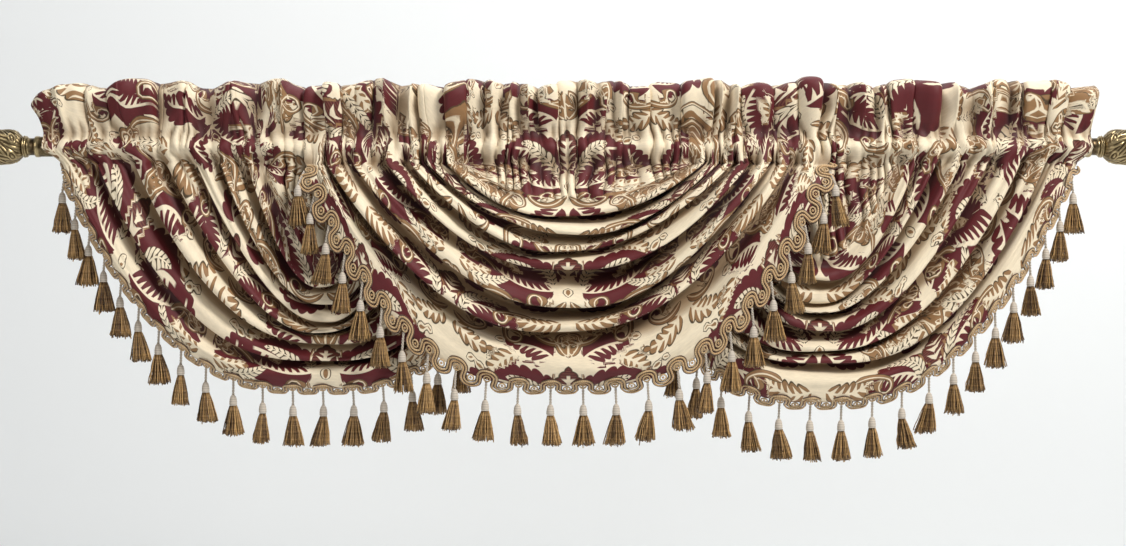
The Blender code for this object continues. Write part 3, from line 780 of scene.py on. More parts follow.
def build_damask_group():
    """Node group that colours the damask from the motif fields."""
    g, entry, leave = new_group(
        "damask_pattern",
        [("Ground Place", "vector", None), ("Ground Kind", "vector", None),
         ("Line Place", "vector", None), ("Line Kind", "vector", None)],
        [("Color", "colour"), ("Pattern", "value")])
    s, t, room = g.parts(entry.outputs["Ground Place"])
    kind, hold, share = g.parts(entry.outputs["Ground Kind"])
    held = g.rise(hold, 0.3, 0.6)
    off = g.math("ABSOLUTE", t)
    leafy = g.fall(kind, 1.5, 0.2)
    is_leaf = g.fall(kind, 0.5, 0.2)
    is_patch = g.rise(kind, 1.5, 0.2)
    slant = g.math("MULTIPLY_ADD", off, LOBE_SLANT, s)
    lobe = g.math("ABSOLUTE", g.math("SINE", g.math("MULTIPLY", slant, math.pi / LOBE_LENGTH)))
    notch = g.math("MULTIPLY", g.math("SUBTRACT", 0.75, g.math("POWER", lobe, 0.7)), LOBE_DEPTH)
    lobed = g.math("MAXIMUM", leafy, PLAIN_LOBES)
    edge = g.math("MULTIPLY_ADD", notch, lobed, g.math("SUBTRACT", off, room))
    on_ground = g.all(g.fall(edge, 0.0, 0.9), held)
    border = g.rise(edge, BORDER, 0.8)
    fill = g.mix(is_leaf, g.mix(border, TAN, OLIVE), BURGUNDY)
    fill = g.mix(is_patch, fill, g.mix(border, BRICK, OLIVE))
    hatch = g.rise(g.math("PINGPONG", s, HATCH_PITCH), 1.0, 0.5)
    hatch = g.all(hatch, is_patch, g.fall(edge, -4.0, 1.0))
    fill = g.mix(g.math("MULTIPLY", hatch, HATCH_SHOWS), fill, BRICK_LIGHT)
    fan = g.math("PINGPONG", g.math("MULTIPLY_ADD", off, FLAME_SLANT, s), FLAME_PITCH / 2)
    reach = g.math("MULTIPLY_ADD", off, FLAME_NARROWS, FLAME_HALF)
    flame = g.fall(g.math("SUBTRACT", fan, reach), 0.0, 0.7)
    one_side = g.math("MAXIMUM", g.math("SUBTRACT", 1.0, is_leaf), g.rise(t, 1.0, 1.0))
    rib = g.fall(g.math("ABSOLUTE", g.math("SUBTRACT", t, 0.8)), RIB_HALF, 0.7)
    rib = g.all(rib, g.fall(share, RIB_ENDS, 0.03))
    cut = g.math("MAXIMUM", g.all(flame, one_side, g.fall(share, FLAME_ENDS, 0.04)), rib)
    colour = g.mix(on_ground, CREAM, g.mix(cut, fill, CREAM))

    s, t, room = g.parts(entry.outputs["Line Place"])
    kind, hold, _ = g.parts(entry.outputs["Line Kind"])
    held = g.rise(hold, 0.3, 0.6)
    off = g.math("ABSOLUTE", t)
    edge = g.math("SUBTRACT", off, room)
    on_line = g.all(g.fall(edge, 0.0, 0.7), held)
    is_scroll = g.fall(kind, 3.5, 0.2)
    is_berry = g.rise(kind, 4.5, 0.2)
    core = g.mix(g.fall(g.math("ABSOLUTE", g.math("SUBTRACT", t, 0.6)), 0.8, 0.5), TAN, CREAM)
    scroll = g.mix(g.fall(edge, -1.0, 0.5), OLIVE, core)
    berry = g.mix(g.fall(edge, -1.4, 0.5), OLIVE, g.mix(g.fall(edge, -4.2, 0.6), CREAM, TAN))
    ear = g.math("PINGPONG", g.math("MULTIPLY_ADD", off, GRAIN_SLANT, s), GRAIN_PITCH / 2)
    bow = g.math("MULTIPLY", g.math("SUBTRACT", off, HUSK_MIDDLE), HUSK_CURVE)
    husk = g.math("SQRT", g.math("SUBTRACT", 1.0, g.math("MULTIPLY", bow, bow), clamp=True))
    seed = g.fall(g.math("MULTIPLY_ADD", husk, HUSK_HALF, ear), 0.0, 0.5)
    grain = g.mix(g.math("MAXIMUM", seed, g.fall(off, 0.8, 0.5)), OLIVE, CREAM)
    line = g.mix(is_berry, g.mix(is_scroll, grain, scroll), berry)
    g.set(leave.inputs["Color"], g.mix(on_line, colour, line))
    g.set(leave.inputs["Pattern"], g.math("MAXIMUM", on_ground, on_line))
    return g.tree


def build_weave_group():
    """Node group for the weave: fine ribs across the cloth, slubs, and the mask that they darken."""
    g, entry, leave = new_group(
        "woven_cloth", [("Place", "vector", None), ("Rib", "value", 0.9), ("Slub", "value", 1.0)],
        [("Height", "value"), ("Shade", "value")])
    u, v, _ = g.parts(entry.outputs["Place"])
    turn = g.math("DIVIDE", math.tau * 1000.0, entry.outputs["Rib"])
    warp = g.math("SINE", g.math("MULTIPLY", g.math("ADD", u, v), turn))
    weft = g.math("SINE", g.math("MULTIPLY", g.math("SUBTRACT", v, u), turn))
    stretched = g.times(entry.outputs["Place"], (90.0, 420.0, 1.0))
    slub_look = {"Vector": stretched, "Scale": 1.0, "Detail": 2.0, "Roughness": 0.6}
    slub = g.add("ShaderNodeTexNoise", slub_look, noise_dimensions="2D")
    slub = g.math("MULTIPLY", g.math("SUBTRACT", slub, 0.5), entry.outputs["Slub"])
    weave = g.math("MULTIPLY", warp, weft)
    g.set(leave.inputs["Height"], g.math("MULTIPLY_ADD", weave, 0.35, slub))
    ribbed = g.math("MULTIPLY_ADD", weave, 0.05, 0.97)
    g.set(leave.inputs["Shade"], g.math("MULTIPLY_ADD", slub, 0.30, ribbed))
    return g.tree


def place_group(nodes, tree, **values):
    """A group node in a material, with its named inputs set."""
    node = nodes.tree.nodes.new("ShaderNodeGroup")
    node.node_tree = tree
    for label, value in values.items():
        nodes.set(node.inputs[label.replace("_", " ")], value)
    return node


def new_material(name):
    """A material with the node helper and its Principled BSDF."""
    material = bpy.data.materials.new(name)
    material.use_nodes = True
    return material, Nodes(material.node_tree), material.node_tree.nodes["Principled BSDF"]


damask_group = build_damask_group()
weave_group = build_weave_group()
damask, n, shader = new_material("damask_cloth")
pattern = place_group(
    n, damask_group, Ground_Place=n.field("ground_place"), Ground_Kind=n.field("ground_kind"),
    Line_Place=n.field("line_place"), Line_Kind=n.field("line_kind"))
weave = place_group(n, weave_group, Place=n.add("ShaderNodeUVMap", uv_map="flat"), Rib=1.1, Slub=0.8)
woven = n.times(pattern.outputs["Color"], weave.outputs["Shade"])
# Painted shade: the cloth's colour is darkened by how deep each corner lies in a valley
painted_valley_shade = n.mix(n.parts(n.field("valley_shade"))[0], PLAIN, VALLEY_PAINTED_SHADE)
n.set(shader.inputs["Base Color"], n.times(woven, painted_valley_shade))
n.set(shader.inputs["Roughness"], n.math("MULTIPLY_ADD", pattern.outputs["Pattern"], -0.10, 0.72))
raised = n.math("MULTIPLY_ADD", pattern.outputs["Pattern"], 0.5, weave.outputs["Height"])
n.set(shader.inputs["Normal"], n.bump(raised, 0.25, 0.0006))
shader.inputs["Sheen Weight"].default_value = 0.05
shader.inputs["Sheen Roughness"].default_value = 0.4
print(f"damask: {len(GROUND_MOTIFS) + len(LINE_MOTIFS)} motifs in each half repeat of {HALF_REPEAT:.0f} mm")

# %% [markdown]
# ## Valances
# Each valance is one cloth. Its swag is a grid of rows and columns, and its heading is a second
# grid that starts on the first one's upper edge, so the folds run up into the pleats without a
# seam, and so does the pattern: the flat coordinates of the heading carry on from the swag's.
# The two outer valances lie behind the middle one, and their heading ends where its begins.
# Solidify gives the open sheet the thickness of a furnishing cloth.

# %% Valance meshes
CLOTH_THICKNESS = 1.2
PATTERN_START = {"left": 20.0, "centre": -150.0, "right": 120.0}
HEADING_ENDS = {"left": (-699.0, -345.6), "centre": (-345.0, 355.0), "right": (355.6, 710.0)}
COLUMNS_WIDEN, COLUMNS_NARROW = 1.12, 0.12
RIM_REACH, RIM_LEAST_STEP = 12.0, 0.05
HIDDEN_IN_PLEAT = 34.0
EDGE_SAMPLES, EDGE_WINDOW = 600, 61
PLEATED_FROM, CROWN_ROW = HEADING_STEPS, 4 * HEADING_STEPS
PLEATS_OPEN = 34.0
SHOWN_IN_PLEAT = 1.25
WELD = 0.00003


def valance_grids(swag):
    """The swag's grid, and the heading's grid with the numbers of the swag points it starts on."""
    across = np.linspace(-1.0, 1.0, swag.columns)
    across = across * (COLUMNS_WIDEN - COLUMNS_NARROW * across ** 2)
    keys = key_rows(swag.folds)
    keys = np.concatenate([keys[:-1], [edge_row(keys, CLOTH_UNDER_BRAID)]])
    body = swag_points(swag, all_rows(keys), across)
    grid = np.concatenate([gather_rows(swag, body[0]), body])
    rows, columns = grid.shape[:2]
    number = np.arange(rows * columns).reshape(rows, columns)
    below = np.arange(rows - 1, GATHER_ROWS - 2, -1)
    rim = np.concatenate([number[below, 0], number[0, :], number[below[::-1], -1]])
    return grid, number, rim


def continued_flat(edge, front, heights):
    """Flat coordinates of the heading, which carry on from those of the rim it starts on.

    From each place on the rim's flat line, the cloth runs on at right angles to that line. In
    the ruffle each pleat shows its stretch of cloth at full width, and the rest is tucked in.
    """
    steps = np.linalg.norm(np.diff(edge, axis=0), axis=1)
    length = np.concatenate([[0.0], np.cumsum(steps)])
    even = np.linspace(0.0, length[-1], EDGE_SAMPLES)
    line = np.stack([np.interp(even, length, edge[:, axis]) for axis in (0, 1)], axis=1)
    window = np.hanning(EDGE_WINDOW) / np.hanning(EDGE_WINDOW).sum()
    half = EDGE_WINDOW // 2
    padded = np.pad(np.gradient(line, axis=0), ((half, half), (0, 0)), mode="edge")
    ahead = np.stack([np.convolve(padded[:, axis], window, "valid") for axis in (0, 1)], axis=1)
    ahead /= np.linalg.norm(ahead, axis=1, keepdims=True)
    outward = np.stack([ahead[:, 1], -ahead[:, 0]], axis=1)
    x = front[PLEATED_FROM, :, 0]
    number = broad_pleats(x)[2]
    members = np.maximum(np.bincount(number), 1)
    middle_x = (np.bincount(number, x) / members)[number]
    middle = (np.bincount(number, length) / members)[number]
    tucked = middle + SHOWN_IN_PLEAT * (x - middle_x)
    open_share = smoothstep((heights - heights[PLEATED_FROM]) / PLEATS_OPEN)
    place = length[None] + open_share * (tucked - length)[None]

    def looked_up(values):
        return np.stack([np.interp(place, even, values[:, axis]) for axis in (0, 1)], axis=2)

    return looked_up(line) + heights[..., None] * looked_up(outward)


def build_valance(swag):
    """Mesh of one valance with the flat cloth's coordinates on every corner, its area and cut size."""
    grid, number, rim = valance_grids(swag)
    points = grid.reshape(-1, 3)
    low, high = HEADING_ENDS[swag.name]
    reach_left = low if swag.name == "right" else low - RIM_REACH
    reach_right = high if swag.name == "left" else high + RIM_REACH
    rim = rim[(points[rim, 0] > reach_left) & (points[rim, 0] < reach_right)]
    rim = rim[np.concatenate([[True], np.diff(points[rim, 0]) > RIM_LEAST_STEP])]
    upper = heading_rows(points[rim], (low, high))
    upper_number = len(points) + np.arange(upper[..., 0].size).reshape(upper.shape[:2])
    ladder = np.concatenate([rim[None], upper_number])[::-1]
    faces = np.concatenate([cells(number), cells(ladder)])
    all_points = np.concatenate([points, upper.reshape(-1, 3)])
    middle = np.argmin(np.abs(grid[-1, :, 0] - swag.middle))
    along = arc_lengths(grid, 1)
    flat_u = along - along[:, [middle]]
    flat_v = arc_lengths(grid, 0)[:, [middle]] + PATTERN_START[swag.name]
    swag_flat = np.stack(np.broadcast_arrays(flat_u, flat_v), axis=2).reshape(-1, 2)
    front = np.concatenate([points[rim][None], upper])
    hidden = HIDDEN_IN_PLEAT * broad_pleats(front[CROWN_ROW - 2, :, 0])[2]
    widths = arc_lengths(front, 1)[CROWN_ROW] + hidden
    heights = arc_lengths(front, 0)[:, [len(rim) // 2]]
    heading_flat = continued_flat(swag_flat[rim], front, heights)[::-1]
    # How deep each point lies in a valley, kept for the painted shade of the material
    swag_valley = valley_share(grid, SWAG_WINDOW)
    rim_valley = swag_valley.ravel()[rim]
    heading_valley = valley_share(front, HEADING_WINDOW)
    heading_valley = rim_valley + smoothstep(heights / RIM_BLEND) * (heading_valley - rim_valley)
    valley_shade = np.concatenate([swag_valley.ravel(), heading_valley[::-1].ravel()])
    flat_points = np.concatenate([swag_flat, heading_flat.reshape(-1, 2)])
    heading_number = len(points) + np.arange(ladder.size).reshape(ladder.shape)
    corners = np.concatenate([cells(number), cells(heading_number)]).ravel()
    fields = {"valley_shade": np.repeat(valley_shade[corners, None], 3, axis=1)}
    for layer, motifs in (("ground", GROUND_MOTIFS), ("line", LINE_MOTIFS)):
        for label, values in zip(("place", "kind"), motif_fields(flat_points, motifs)):
            fields[f"{layer}_{label}"] = values[corners]
    flat = flat_points[corners] * MM
    mesh = build_mesh(f"valance_{swag.name}", all_points * MM, [faces], flat, fields)
    area = sum(face.area for face in mesh.polygons)
    width = max(np.ptp(swag_flat[:, 0]), np.ptp(widths)) * MM
    length = (np.ptp(swag_flat[:, 1]) + np.ptp(heights)) * MM
    return mesh, area, (width, length)


valances = {}
for swag in SWAGS:
    mesh, area, size = build_valance(swag)
    nodes = (f"swag_{swag.name}", "heading")
    piece = add_piece(f"valance_{swag.name}", mesh, damask, nodes, merge=WELD)
    thickness = piece.modifiers.new("Thickness", "SOLIDIFY")
    thickness.thickness = CLOTH_THICKNESS * MM
    thickness.offset = 0.0
    thickness.use_rim = True
    valances[swag.name] = (piece, area, size)

# %% [markdown]
# ## Round cords
# Braids, tassel cords and skirt threads are all thin round rods along a path. One helper makes
# many of them at once: at each point of a path it sets a ring of points at right angles to the
# path. The UV map keeps the length along and the place around, so a shader can draw the twist.


# %% Tubes
def unit(vectors):
    """Vectors scaled to a length of one."""
    return vectors / np.maximum(np.linalg.norm(vectors, axis=-1, keepdims=True), 1e-9)


def tubes(paths, radius, sides, up, tone, kind=0.0):
    """Closed round rods along many paths: points, faces by number of corners, and corner values.

    paths is rods by points by three. A ring point is the path's point plus the radius times the
    cosine of its angle sideways and the sine of it towards up. Each rod has a tone from 0 to 1.
    """
    count, length = paths.shape[:2]
    along = unit(np.gradient(paths, axis=1))
    side = unit(np.cross(np.broadcast_to(up, paths.shape), along))
    rise = np.cross(along, side)
    angle = np.arange(sides) * math.tau / sides
    radius = np.broadcast_to(radius, (count, length))[..., None, None]
    ring = np.cos(angle)[:, None] * side[:, :, None] + np.sin(angle)[:, None] * rise[:, :, None]
    points = paths[:, :, None] + radius * ring
    number = np.arange(count * length * sides).reshape(count, length, sides)
    round_number = np.concatenate([number, number[..., :1]], axis=2)
    steps = np.linalg.norm(np.diff(paths, axis=1), axis=2)
    gone = np.concatenate([np.zeros((count, 1)), np.cumsum(steps, axis=1)], axis=1)
    place = np.stack(np.broadcast_arrays(gone[..., None], np.arange(sides + 1) / sides), axis=-1)
    share = gone / gone[:, -1:]
    tones, kinds = np.reshape(tone, (-1, 1, 1)), np.full(place.shape[:-1], kind)
    strand = np.stack(np.broadcast_arrays(tones, share[..., None], kinds), axis=-1)

    def quads(grid):
        return np.stack([grid[:, :-1, :-1], grid[:, 1:, :-1], grid[:, 1:, 1:], grid[:, :-1, 1:]], axis=3)

    faces = quads(round_number).reshape(-1, 4)
    caps = np.concatenate([number[:, 0, ::-1], number[:, -1]])
    cap_place = np.concatenate([place[:, 0, -2::-1], place[:, -1, :-1]])
    cap_strand = np.concatenate([strand[:, 0, -2::-1], strand[:, -1, :-1]])
    return (points.reshape(-1, 3), [faces, caps],
            [quads(place).reshape(-1, 2), cap_place.reshape(-1, 2)],
            [quads(strand).reshape(-1, 3), cap_strand.reshape(-1, 3)])


def joined_mesh(name, parts):
    """One mesh from the arrays of several tubes calls. Measures are turned to metres."""
    points, faces, flat, strand, passed = [], [], [], [], 0
    for part_points, part_faces, part_flat, part_strand in parts:
        points.append(part_points)
        faces.extend(array + passed for array in part_faces)
        flat.extend(part_flat)
        strand.extend(part_strand)
        passed += len(part_points)
    fields = {"strand": np.concatenate(strand)}
    return build_mesh(name, np.concatenate(points) * MM, faces, np.concatenate(flat) * MM, fields)


# %% [markdown]
# ## Scroll braid
# The braid on the hem is a scroll gimp: two thick cords lie side by side and wind in half circles, one lobe
# up and one lobe down. Dark yarns lie in the grooves beside them as painted shade. A ring with a ball in it
# fills each lobe. The path is worked out on a flat band and then laid on the hem, whose middle line, sides
# and face give the directions.

# %% Hem and braid
TASSEL_COUNT = 24
LOBE_SHIFT, LOBE_BULGE = 2.0, 0.14
TURNED_UNDER = 10.0
HEM_SAMPLES = 1600

# The yarns of the scroll: their place beside its middle line, radius, sides, stand, tone and kind, where 0 is
# a pale cord and 1 a dark yarn in the groove beside it, which paints the groove's shade
Yarn = namedtuple("Yarn", "beside radius sides stand tone kind")
SCROLL_YARNS = (
    Yarn(-1.95, 1.35, 6, 1.8, 0.55, 0.0),
    Yarn(1.95, 1.35, 6, 1.8, 0.75, 0.0),
    Yarn(-3.7, 0.85, 4, 0.7, 0.0, 1.0),
    Yarn(0.0, 1.0, 4, 0.8, 0.0, 1.0),
    Yarn(3.7, 0.85, 4, 0.7, 0.0, 1.0),
)
YARN_LIFTS = 0.5

# The ring of each lobe and the ball in it: radius of the path, radius of the yarn, and tone
Ring = namedtuple("Ring", "radius yarn tone")
LOBE_RINGS = (Ring(4.3, 1.15, 0.8), Ring(0.7, 1.05, 0.5))
RING_SHIFT, RING_STAND, RING_SIDES = 1.0, 2.0, 5
LOBE_POINTS = 15


class HemBand:
    """The band along a hem: its middle line and its directions, looked up by length."""

    def __init__(self, swag):
        across = np.linspace(-1.0, 1.0, HEM_SAMPLES)
        upper, lower = swag_points(swag, key_rows(swag.folds)[-2:], across)
        middle = (upper + lower) / 2
        steps = np.linalg.norm(np.diff(middle, axis=0), axis=1)
        self.length = np.concatenate([[0.0], np.cumsum(steps)])
        down = unit(lower - upper)
        out = unit(np.cross(np.gradient(middle, axis=0), down))
        out *= np.where(out[:, [1]] > 0.0, -1.0, 1.0)
        self.middle, self.down, self.out = middle, down, out
        self.across, self.total = across, self.length[-1]

    def look(self, values, place):
        """Rows of values, which belong to the hem's samples, at lengths along the hem."""
        flat = np.interp(np.ravel(place), self.length, np.arange(len(self.length)))
        columns = [np.interp(flat, np.arange(len(values)), column) for column in values.T]
        return np.stack(columns, axis=-1).reshape(*np.shape(place), values.shape[1])

    def lay(self, place, drop, stand):
        """Points at a length along the hem, a drop across the band and a stand out of it."""
        place = np.clip(place, 0.0, self.total)
        down = np.asarray(drop)[..., None] * self.look(self.down, place)
        out = np.asarray(stand)[..., None] * self.look(self.out, place)
        return self.look(self.middle, place) + down + out


def braid_parts(band):
    """The braid's scroll of cords with dark yarns beside them that paint the shade of the grooves, and a ring
    with a ball in each lobe.
    """
    wave = band.total / TASSEL_COUNT
    turn = np.linspace(0.0, math.pi, LOBE_POINTS)[:-1]
    number = np.arange(TASSEL_COUNT)[:, None]
    cords = []
    for yarn in SCROLL_YARNS:
        upper, lower = wave / 4 + yarn.beside, wave / 4 - yarn.beside
        fuller = 1.0 + LOBE_BULGE * np.sin(2.0 * turn) * np.sign(np.cos(turn))
        place = np.concatenate([wave * (number + 0.5) - upper * np.cos(turn) * fuller,
                                wave * (number + 1.0) - lower * np.cos(turn) * fuller], axis=1)
        drop = np.concatenate([-LOBE_SHIFT - upper * np.sin(turn) + 0.0 * number,
                               LOBE_SHIFT + lower * np.sin(turn) + 0.0 * number], axis=1)
        place, drop = place.ravel(), drop.ravel()
        kept = (place > 0.0) & (place < band.total)
        place, drop = place[kept], drop[kept]
        drop = drop * smoothstep(np.minimum(place, band.total - place) / TURNED_UNDER)
        stand = yarn.stand + YARN_LIFTS * np.sin(place * math.tau / wave * 2.0 + yarn.beside)
        path, up = band.lay(place, drop, stand), band.look(band.out, place)
        cords.append(tubes(path[None], yarn.radius, yarn.sides, up, [yarn.tone], yarn.kind))
    rings = []
    circle = np.linspace(0.0, math.tau, LOBE_POINTS)
    for shift, first, count in ((-1.0, 0.5, TASSEL_COUNT), (1.0, 1.0, TASSEL_COUNT - 1)):
        centre = wave * (np.arange(count) + first)
        for ring in LOBE_RINGS:
            place = centre[:, None] + ring.radius * np.cos(circle)
            drop = shift * (LOBE_SHIFT + RING_SHIFT) + ring.radius * np.sin(circle) + 0.0 * place
            path = band.lay(place, drop, np.full_like(place, RING_STAND))
            up = band.look(band.out, place)
            rings.append(tubes(path, ring.yarn, RING_SIDES, up, np.full(count, ring.tone)))
    return cords + rings


# %% [markdown]
# ## Tassels
# A tassel hangs from the braid on a cord of two twisted strands. Its neck is bound with ivory
# yarn, and below it a skirt of glossy threads spreads out. The threads end at uneven lengths, and
# no two tassels hang quite alike, so each has its own small tilt and spread.

# %% Tassels
FRONT = np.array([0.0, -1.0, 0.0])
CORD_DROP, NECK_DROP, SKIRT_DROP = 18.0, 15.0, 40.0
ROOT_DROP, ROOT_STAND, HEM_EDGE = 3.0, 0.8, 10.0
CLEAR_FROM = 0.45
SWINGS = 1.9
STRAND_RADIUS, STRAND_PITCH, CORD_BENDS, CORD_TONE = 1.0, 8.0, 0.7, 0.6
THREADS, THREAD_POINTS = 96, 6
THREAD_TURN, THREAD_STRAYS, THREAD_WOBBLES = 0.618, 0.2, 0.5
SPREADS, LENGTH_VARIES, OUTER_SHORTER = 0.10, 0.035, 0.06
SKIRT_TOP = 0.30
THREAD_ROOT, THREAD_TIP = 0.55, 0.85
SKIRT_WIDE, SKIRT_DEEP = 14.2, 9.6
NECK_WINDS, NECK_SIDES, NECK_TONE = 0.12, 12, 0.8
NECK_PROFILE = ((0.0, 1.5), (0.10, 3.0), (0.28, 4.3), (0.55, 5.1), (0.85, 5.3), (1.0, 4.6))


def tassel_parts(swag, band):
    """All tassels of one hem: twisted cords, bound necks and skirts of threads.

    The threads start at golden-section turns, so they fill the skirt evenly without rows. Each
    thread's ring grows with the square root of its number, and a core closes the inside; it
    takes the darkest thread tone, which paints the shade among the threads.
    """
    wave = band.total / TASSEL_COUNT
    place = wave * (np.arange(TASSEL_COUNT) + 0.5)
    root = band.lay(place, ROOT_DROP, ROOT_STAND)
    across = np.interp(place, band.length, band.across)
    hem = band.lay(place, HEM_EDGE, 0.0)
    clear = np.minimum(hem[:, 1], -float(swag.tassels))
    hang_y = np.where(np.abs(across) > CLEAR_FROM, clear, hem[:, 1])
    top = np.stack([hem[:, 0], hang_y, hem[:, 2] - CORD_DROP], axis=1)
    swing = rng.normal(0.0, SWINGS, (TASSEL_COUNT, 2))
    share = np.linspace(0.0, 1.0, 15)[None, :, None]
    bent = np.concatenate([share, share ** CORD_BENDS, share], axis=2)
    line = root[:, None] + (top - root)[:, None] * bent
    turn = share * (np.linalg.norm(top - root, axis=1) / STRAND_PITCH)[:, None, None] * math.tau
    cords = []
    for phase in (0.0, math.pi):
        circle = np.concatenate([np.cos(turn + phase), np.sin(turn + phase), 0.0 * turn], axis=2)
        strand = line + circle * STRAND_RADIUS
        cords.append(tubes(strand, STRAND_RADIUS, 5, FRONT, np.full(TASSEL_COUNT, CORD_TONE)))
    shares, radii = np.array(NECK_PROFILE).T
    fall = np.linspace(0.0, 1.0, 11)
    neck_radius = np.interp(fall, shares, radii) + NECK_WINDS * np.cos(math.pi * np.arange(11))
    down = np.stack([0.0 * fall, 0.0 * fall, -NECK_DROP * fall], axis=1)
    tone = np.full(TASSEL_COUNT, NECK_TONE)
    necks = tubes(top[:, None] + down, neck_radius, NECK_SIDES, FRONT, tone)
    foot = top + np.array([0.0, 0.0, -NECK_DROP])
    spread = 1.0 + SPREADS * rng.normal(0.0, 1.0, (TASSEL_COUNT, 1, 1))
    angle = math.tau * (np.arange(THREADS) * THREAD_TURN)[None, :, None]
    angle = angle + rng.normal(0.0, THREAD_STRAYS, (TASSEL_COUNT, THREADS, 1))
    ring = np.sqrt((np.arange(THREADS)[None, :, None] + 8.0) / (THREADS + 8.0))
    fall = np.linspace(0.0, 1.0, THREAD_POINTS)[None, None, :]
    uneven = 1.0 + LENGTH_VARIES * rng.normal(0.0, 1.0, (TASSEL_COUNT, THREADS, 1)) - OUTER_SHORTER * ring
    grown = (SKIRT_TOP + 0.70 * fall ** 0.8) * ring
    wobble = THREAD_WOBBLES * rng.normal(0.0, 1.0, (TASSEL_COUNT, THREADS, THREAD_POINTS)) * fall
    x = np.cos(angle) * SKIRT_WIDE * spread * grown + wobble + swing[:, :1, None] * fall * 1.4
    y = np.sin(angle) * SKIRT_DEEP * spread * grown + 0.7 * wobble[..., ::-1] + swing[:, 1:, None] * fall
    z = 1.0 - (SKIRT_DROP + 1.0) * fall * uneven
    paths = foot[:, None, None] + np.stack(np.broadcast_arrays(x, y, z), axis=-1)
    tone = rng.random(TASSEL_COUNT * THREADS)
    thread_radius = np.linspace(THREAD_ROOT, THREAD_TIP, THREAD_POINTS)
    skirt = tubes(paths.reshape(-1, THREAD_POINTS, 3), thread_radius, 3, FRONT, tone, kind=1.0)
    # Painted shade: the core takes the darkest thread tone, for the shade among the threads
    core_line = paths[:, :, 1:5].mean(axis=1)
    core_radius = SKIRT_DEEP * 0.7 * (SKIRT_TOP + 0.70 * np.linspace(0.2, 0.8, 4) ** 0.8)
    core = tubes(core_line, core_radius, 10, FRONT, np.zeros(TASSEL_COUNT), kind=1.0)
    return cords + [necks, skirt, core]


# %% [markdown]
# ## Thread finishes
# All trim is twisted yarn, so one node group draws the twist: slanting bands from the length along a cord and
# the place around it. It also paints shade, darker on the back half of a cord and in the grooves between its
# strands. The braid is pale tan with darker yarns in its grooves as painted shade, the tassel skirts are
# glossy gold to brown, and the necks and cords are ivory.

# %% Trim materials
GIMP_DARK, GIMP_PALE = linear(244, 180, 110), linear(255, 222, 170)
GIMP_GROOVE_SHADE = linear(104, 68, 36)
IVORY = linear(252, 238, 220)
SKIRT_DARK, SKIRT_GOLD = linear(74, 48, 24), linear(210, 168, 110)


def build_twist_group():
    """Node group for twisted yarn: height of the strands of a cord, and painted shade that darkens its
    grooves and its back half.
    """
    g, entry, leave = new_group(
        "twisted_yarn", [("Place", "vector", None), ("Pitch", "value", 2.4), ("Strands", "value", 3.0)],
        [("Height", "value"), ("Shade", "value")])
    along, around, _ = g.parts(entry.outputs["Place"])
    turns = g.math("DIVIDE", along, g.math("MULTIPLY", entry.outputs["Pitch"], MM))
    phase = g.math("MULTIPLY_ADD", around, entry.outputs["Strands"], turns)
    ridge = g.math("ABSOLUTE", g.math("SINE", g.math("MULTIPLY", phase, math.pi)))
    g.set(leave.inputs["Height"], ridge)
    # Painted shade: the back half of a cord is darker, and so are the grooves between its strands
    painted_side_shade = g.math("SINE", g.math("MULTIPLY", around, math.tau), clamp=True)
    painted_side_shade = g.math("MULTIPLY_ADD", g.math("POWER", painted_side_shade, 0.6), 0.44, 0.56)
    painted_groove_shade = g.math("MULTIPLY_ADD", g.math("POWER", ridge, 0.5), 0.42, 0.66)
    g.set(leave.inputs["Shade"], g.math("MULTIPLY", painted_side_shade, painted_groove_shade))
    return g.tree


twist_group = build_twist_group()
gimp, n, shader = new_material("scroll_braid")
tone, _, groove_shade = n.parts(n.field("strand"))
twist = place_group(n, twist_group, Place=n.add("ShaderNodeUVMap", uv_map="flat"), Pitch=2.6, Strands=1.0)
# Painted shade: the groove yarns take a dark colour, and the twist darkens the back and grooves of every cord
yarn = n.mix(groove_shade, n.mix(tone, GIMP_DARK, GIMP_PALE), GIMP_GROOVE_SHADE)
n.set(shader.inputs["Base Color"], n.times(yarn, twist.outputs["Shade"]))
n.set(shader.inputs["Roughness"], n.math("MULTIPLY_ADD", twist.outputs["Height"], -0.12, 0.62))
n.set(shader.inputs["Normal"], n.bump(twist.outputs["Height"], 0.6, 0.0005))
shader.inputs["Sheen Weight"].default_value = 0.25

tassel_yarn, n, shader = new_material("tassel_yarn")
tone, _, kind = n.parts(n.field("strand"))
flat_place = n.add("ShaderNodeUVMap", uv_map="flat")
twist = place_group(n, twist_group, Place=flat_place, Pitch=3.2, Strands=1.0)
streak = n.add("ShaderNodeTexNoise", {"Vector": flat_place, "Scale": 260.0, "Detail": 2.0})
gold = n.math("ADD", n.math("MULTIPLY", tone, 0.9), n.math("SUBTRACT", streak, 0.5), clamp=True)
skirt = n.mix(gold, SKIRT_DARK, SKIRT_GOLD)
# The ivory necks and cords take the twist's painted shade
ivory = n.times(IVORY[:3], twist.outputs["Shade"])
n.set(shader.inputs["Base Color"], n.mix(n.rise(kind, 0.5, 0.1), ivory, skirt))
n.set(shader.inputs["Roughness"], n.math("MULTIPLY_ADD", kind, -0.32, 0.70))
n.set(shader.inputs["Normal"], n.bump(twist.outputs["Height"], 0.5, 0.0004))

for swag in SWAGS:
    band = HemBand(swag)
    node = f"fringe_{swag.name}"
    braid = add_piece(f"braid_{swag.name}", joined_mesh(f"braid_{swag.name}", braid_parts(band)),
                      gimp, (node,), outward=True)
    tassels = add_piece(f"tassels_{swag.name}", joined_mesh(f"tassels_{swag.name}", tassel_parts(swag, band)),
                        tassel_yarn, (node,), outward=True)
    print(f"hem_{swag.name}: {band.total:.0f} mm long, {TASSEL_COUNT} tassels")

# %% [markdown]
# ## Sheet sizes
# Each valance is a sheet of cloth that is gathered on the rod, with its braid and tassels sewn on.

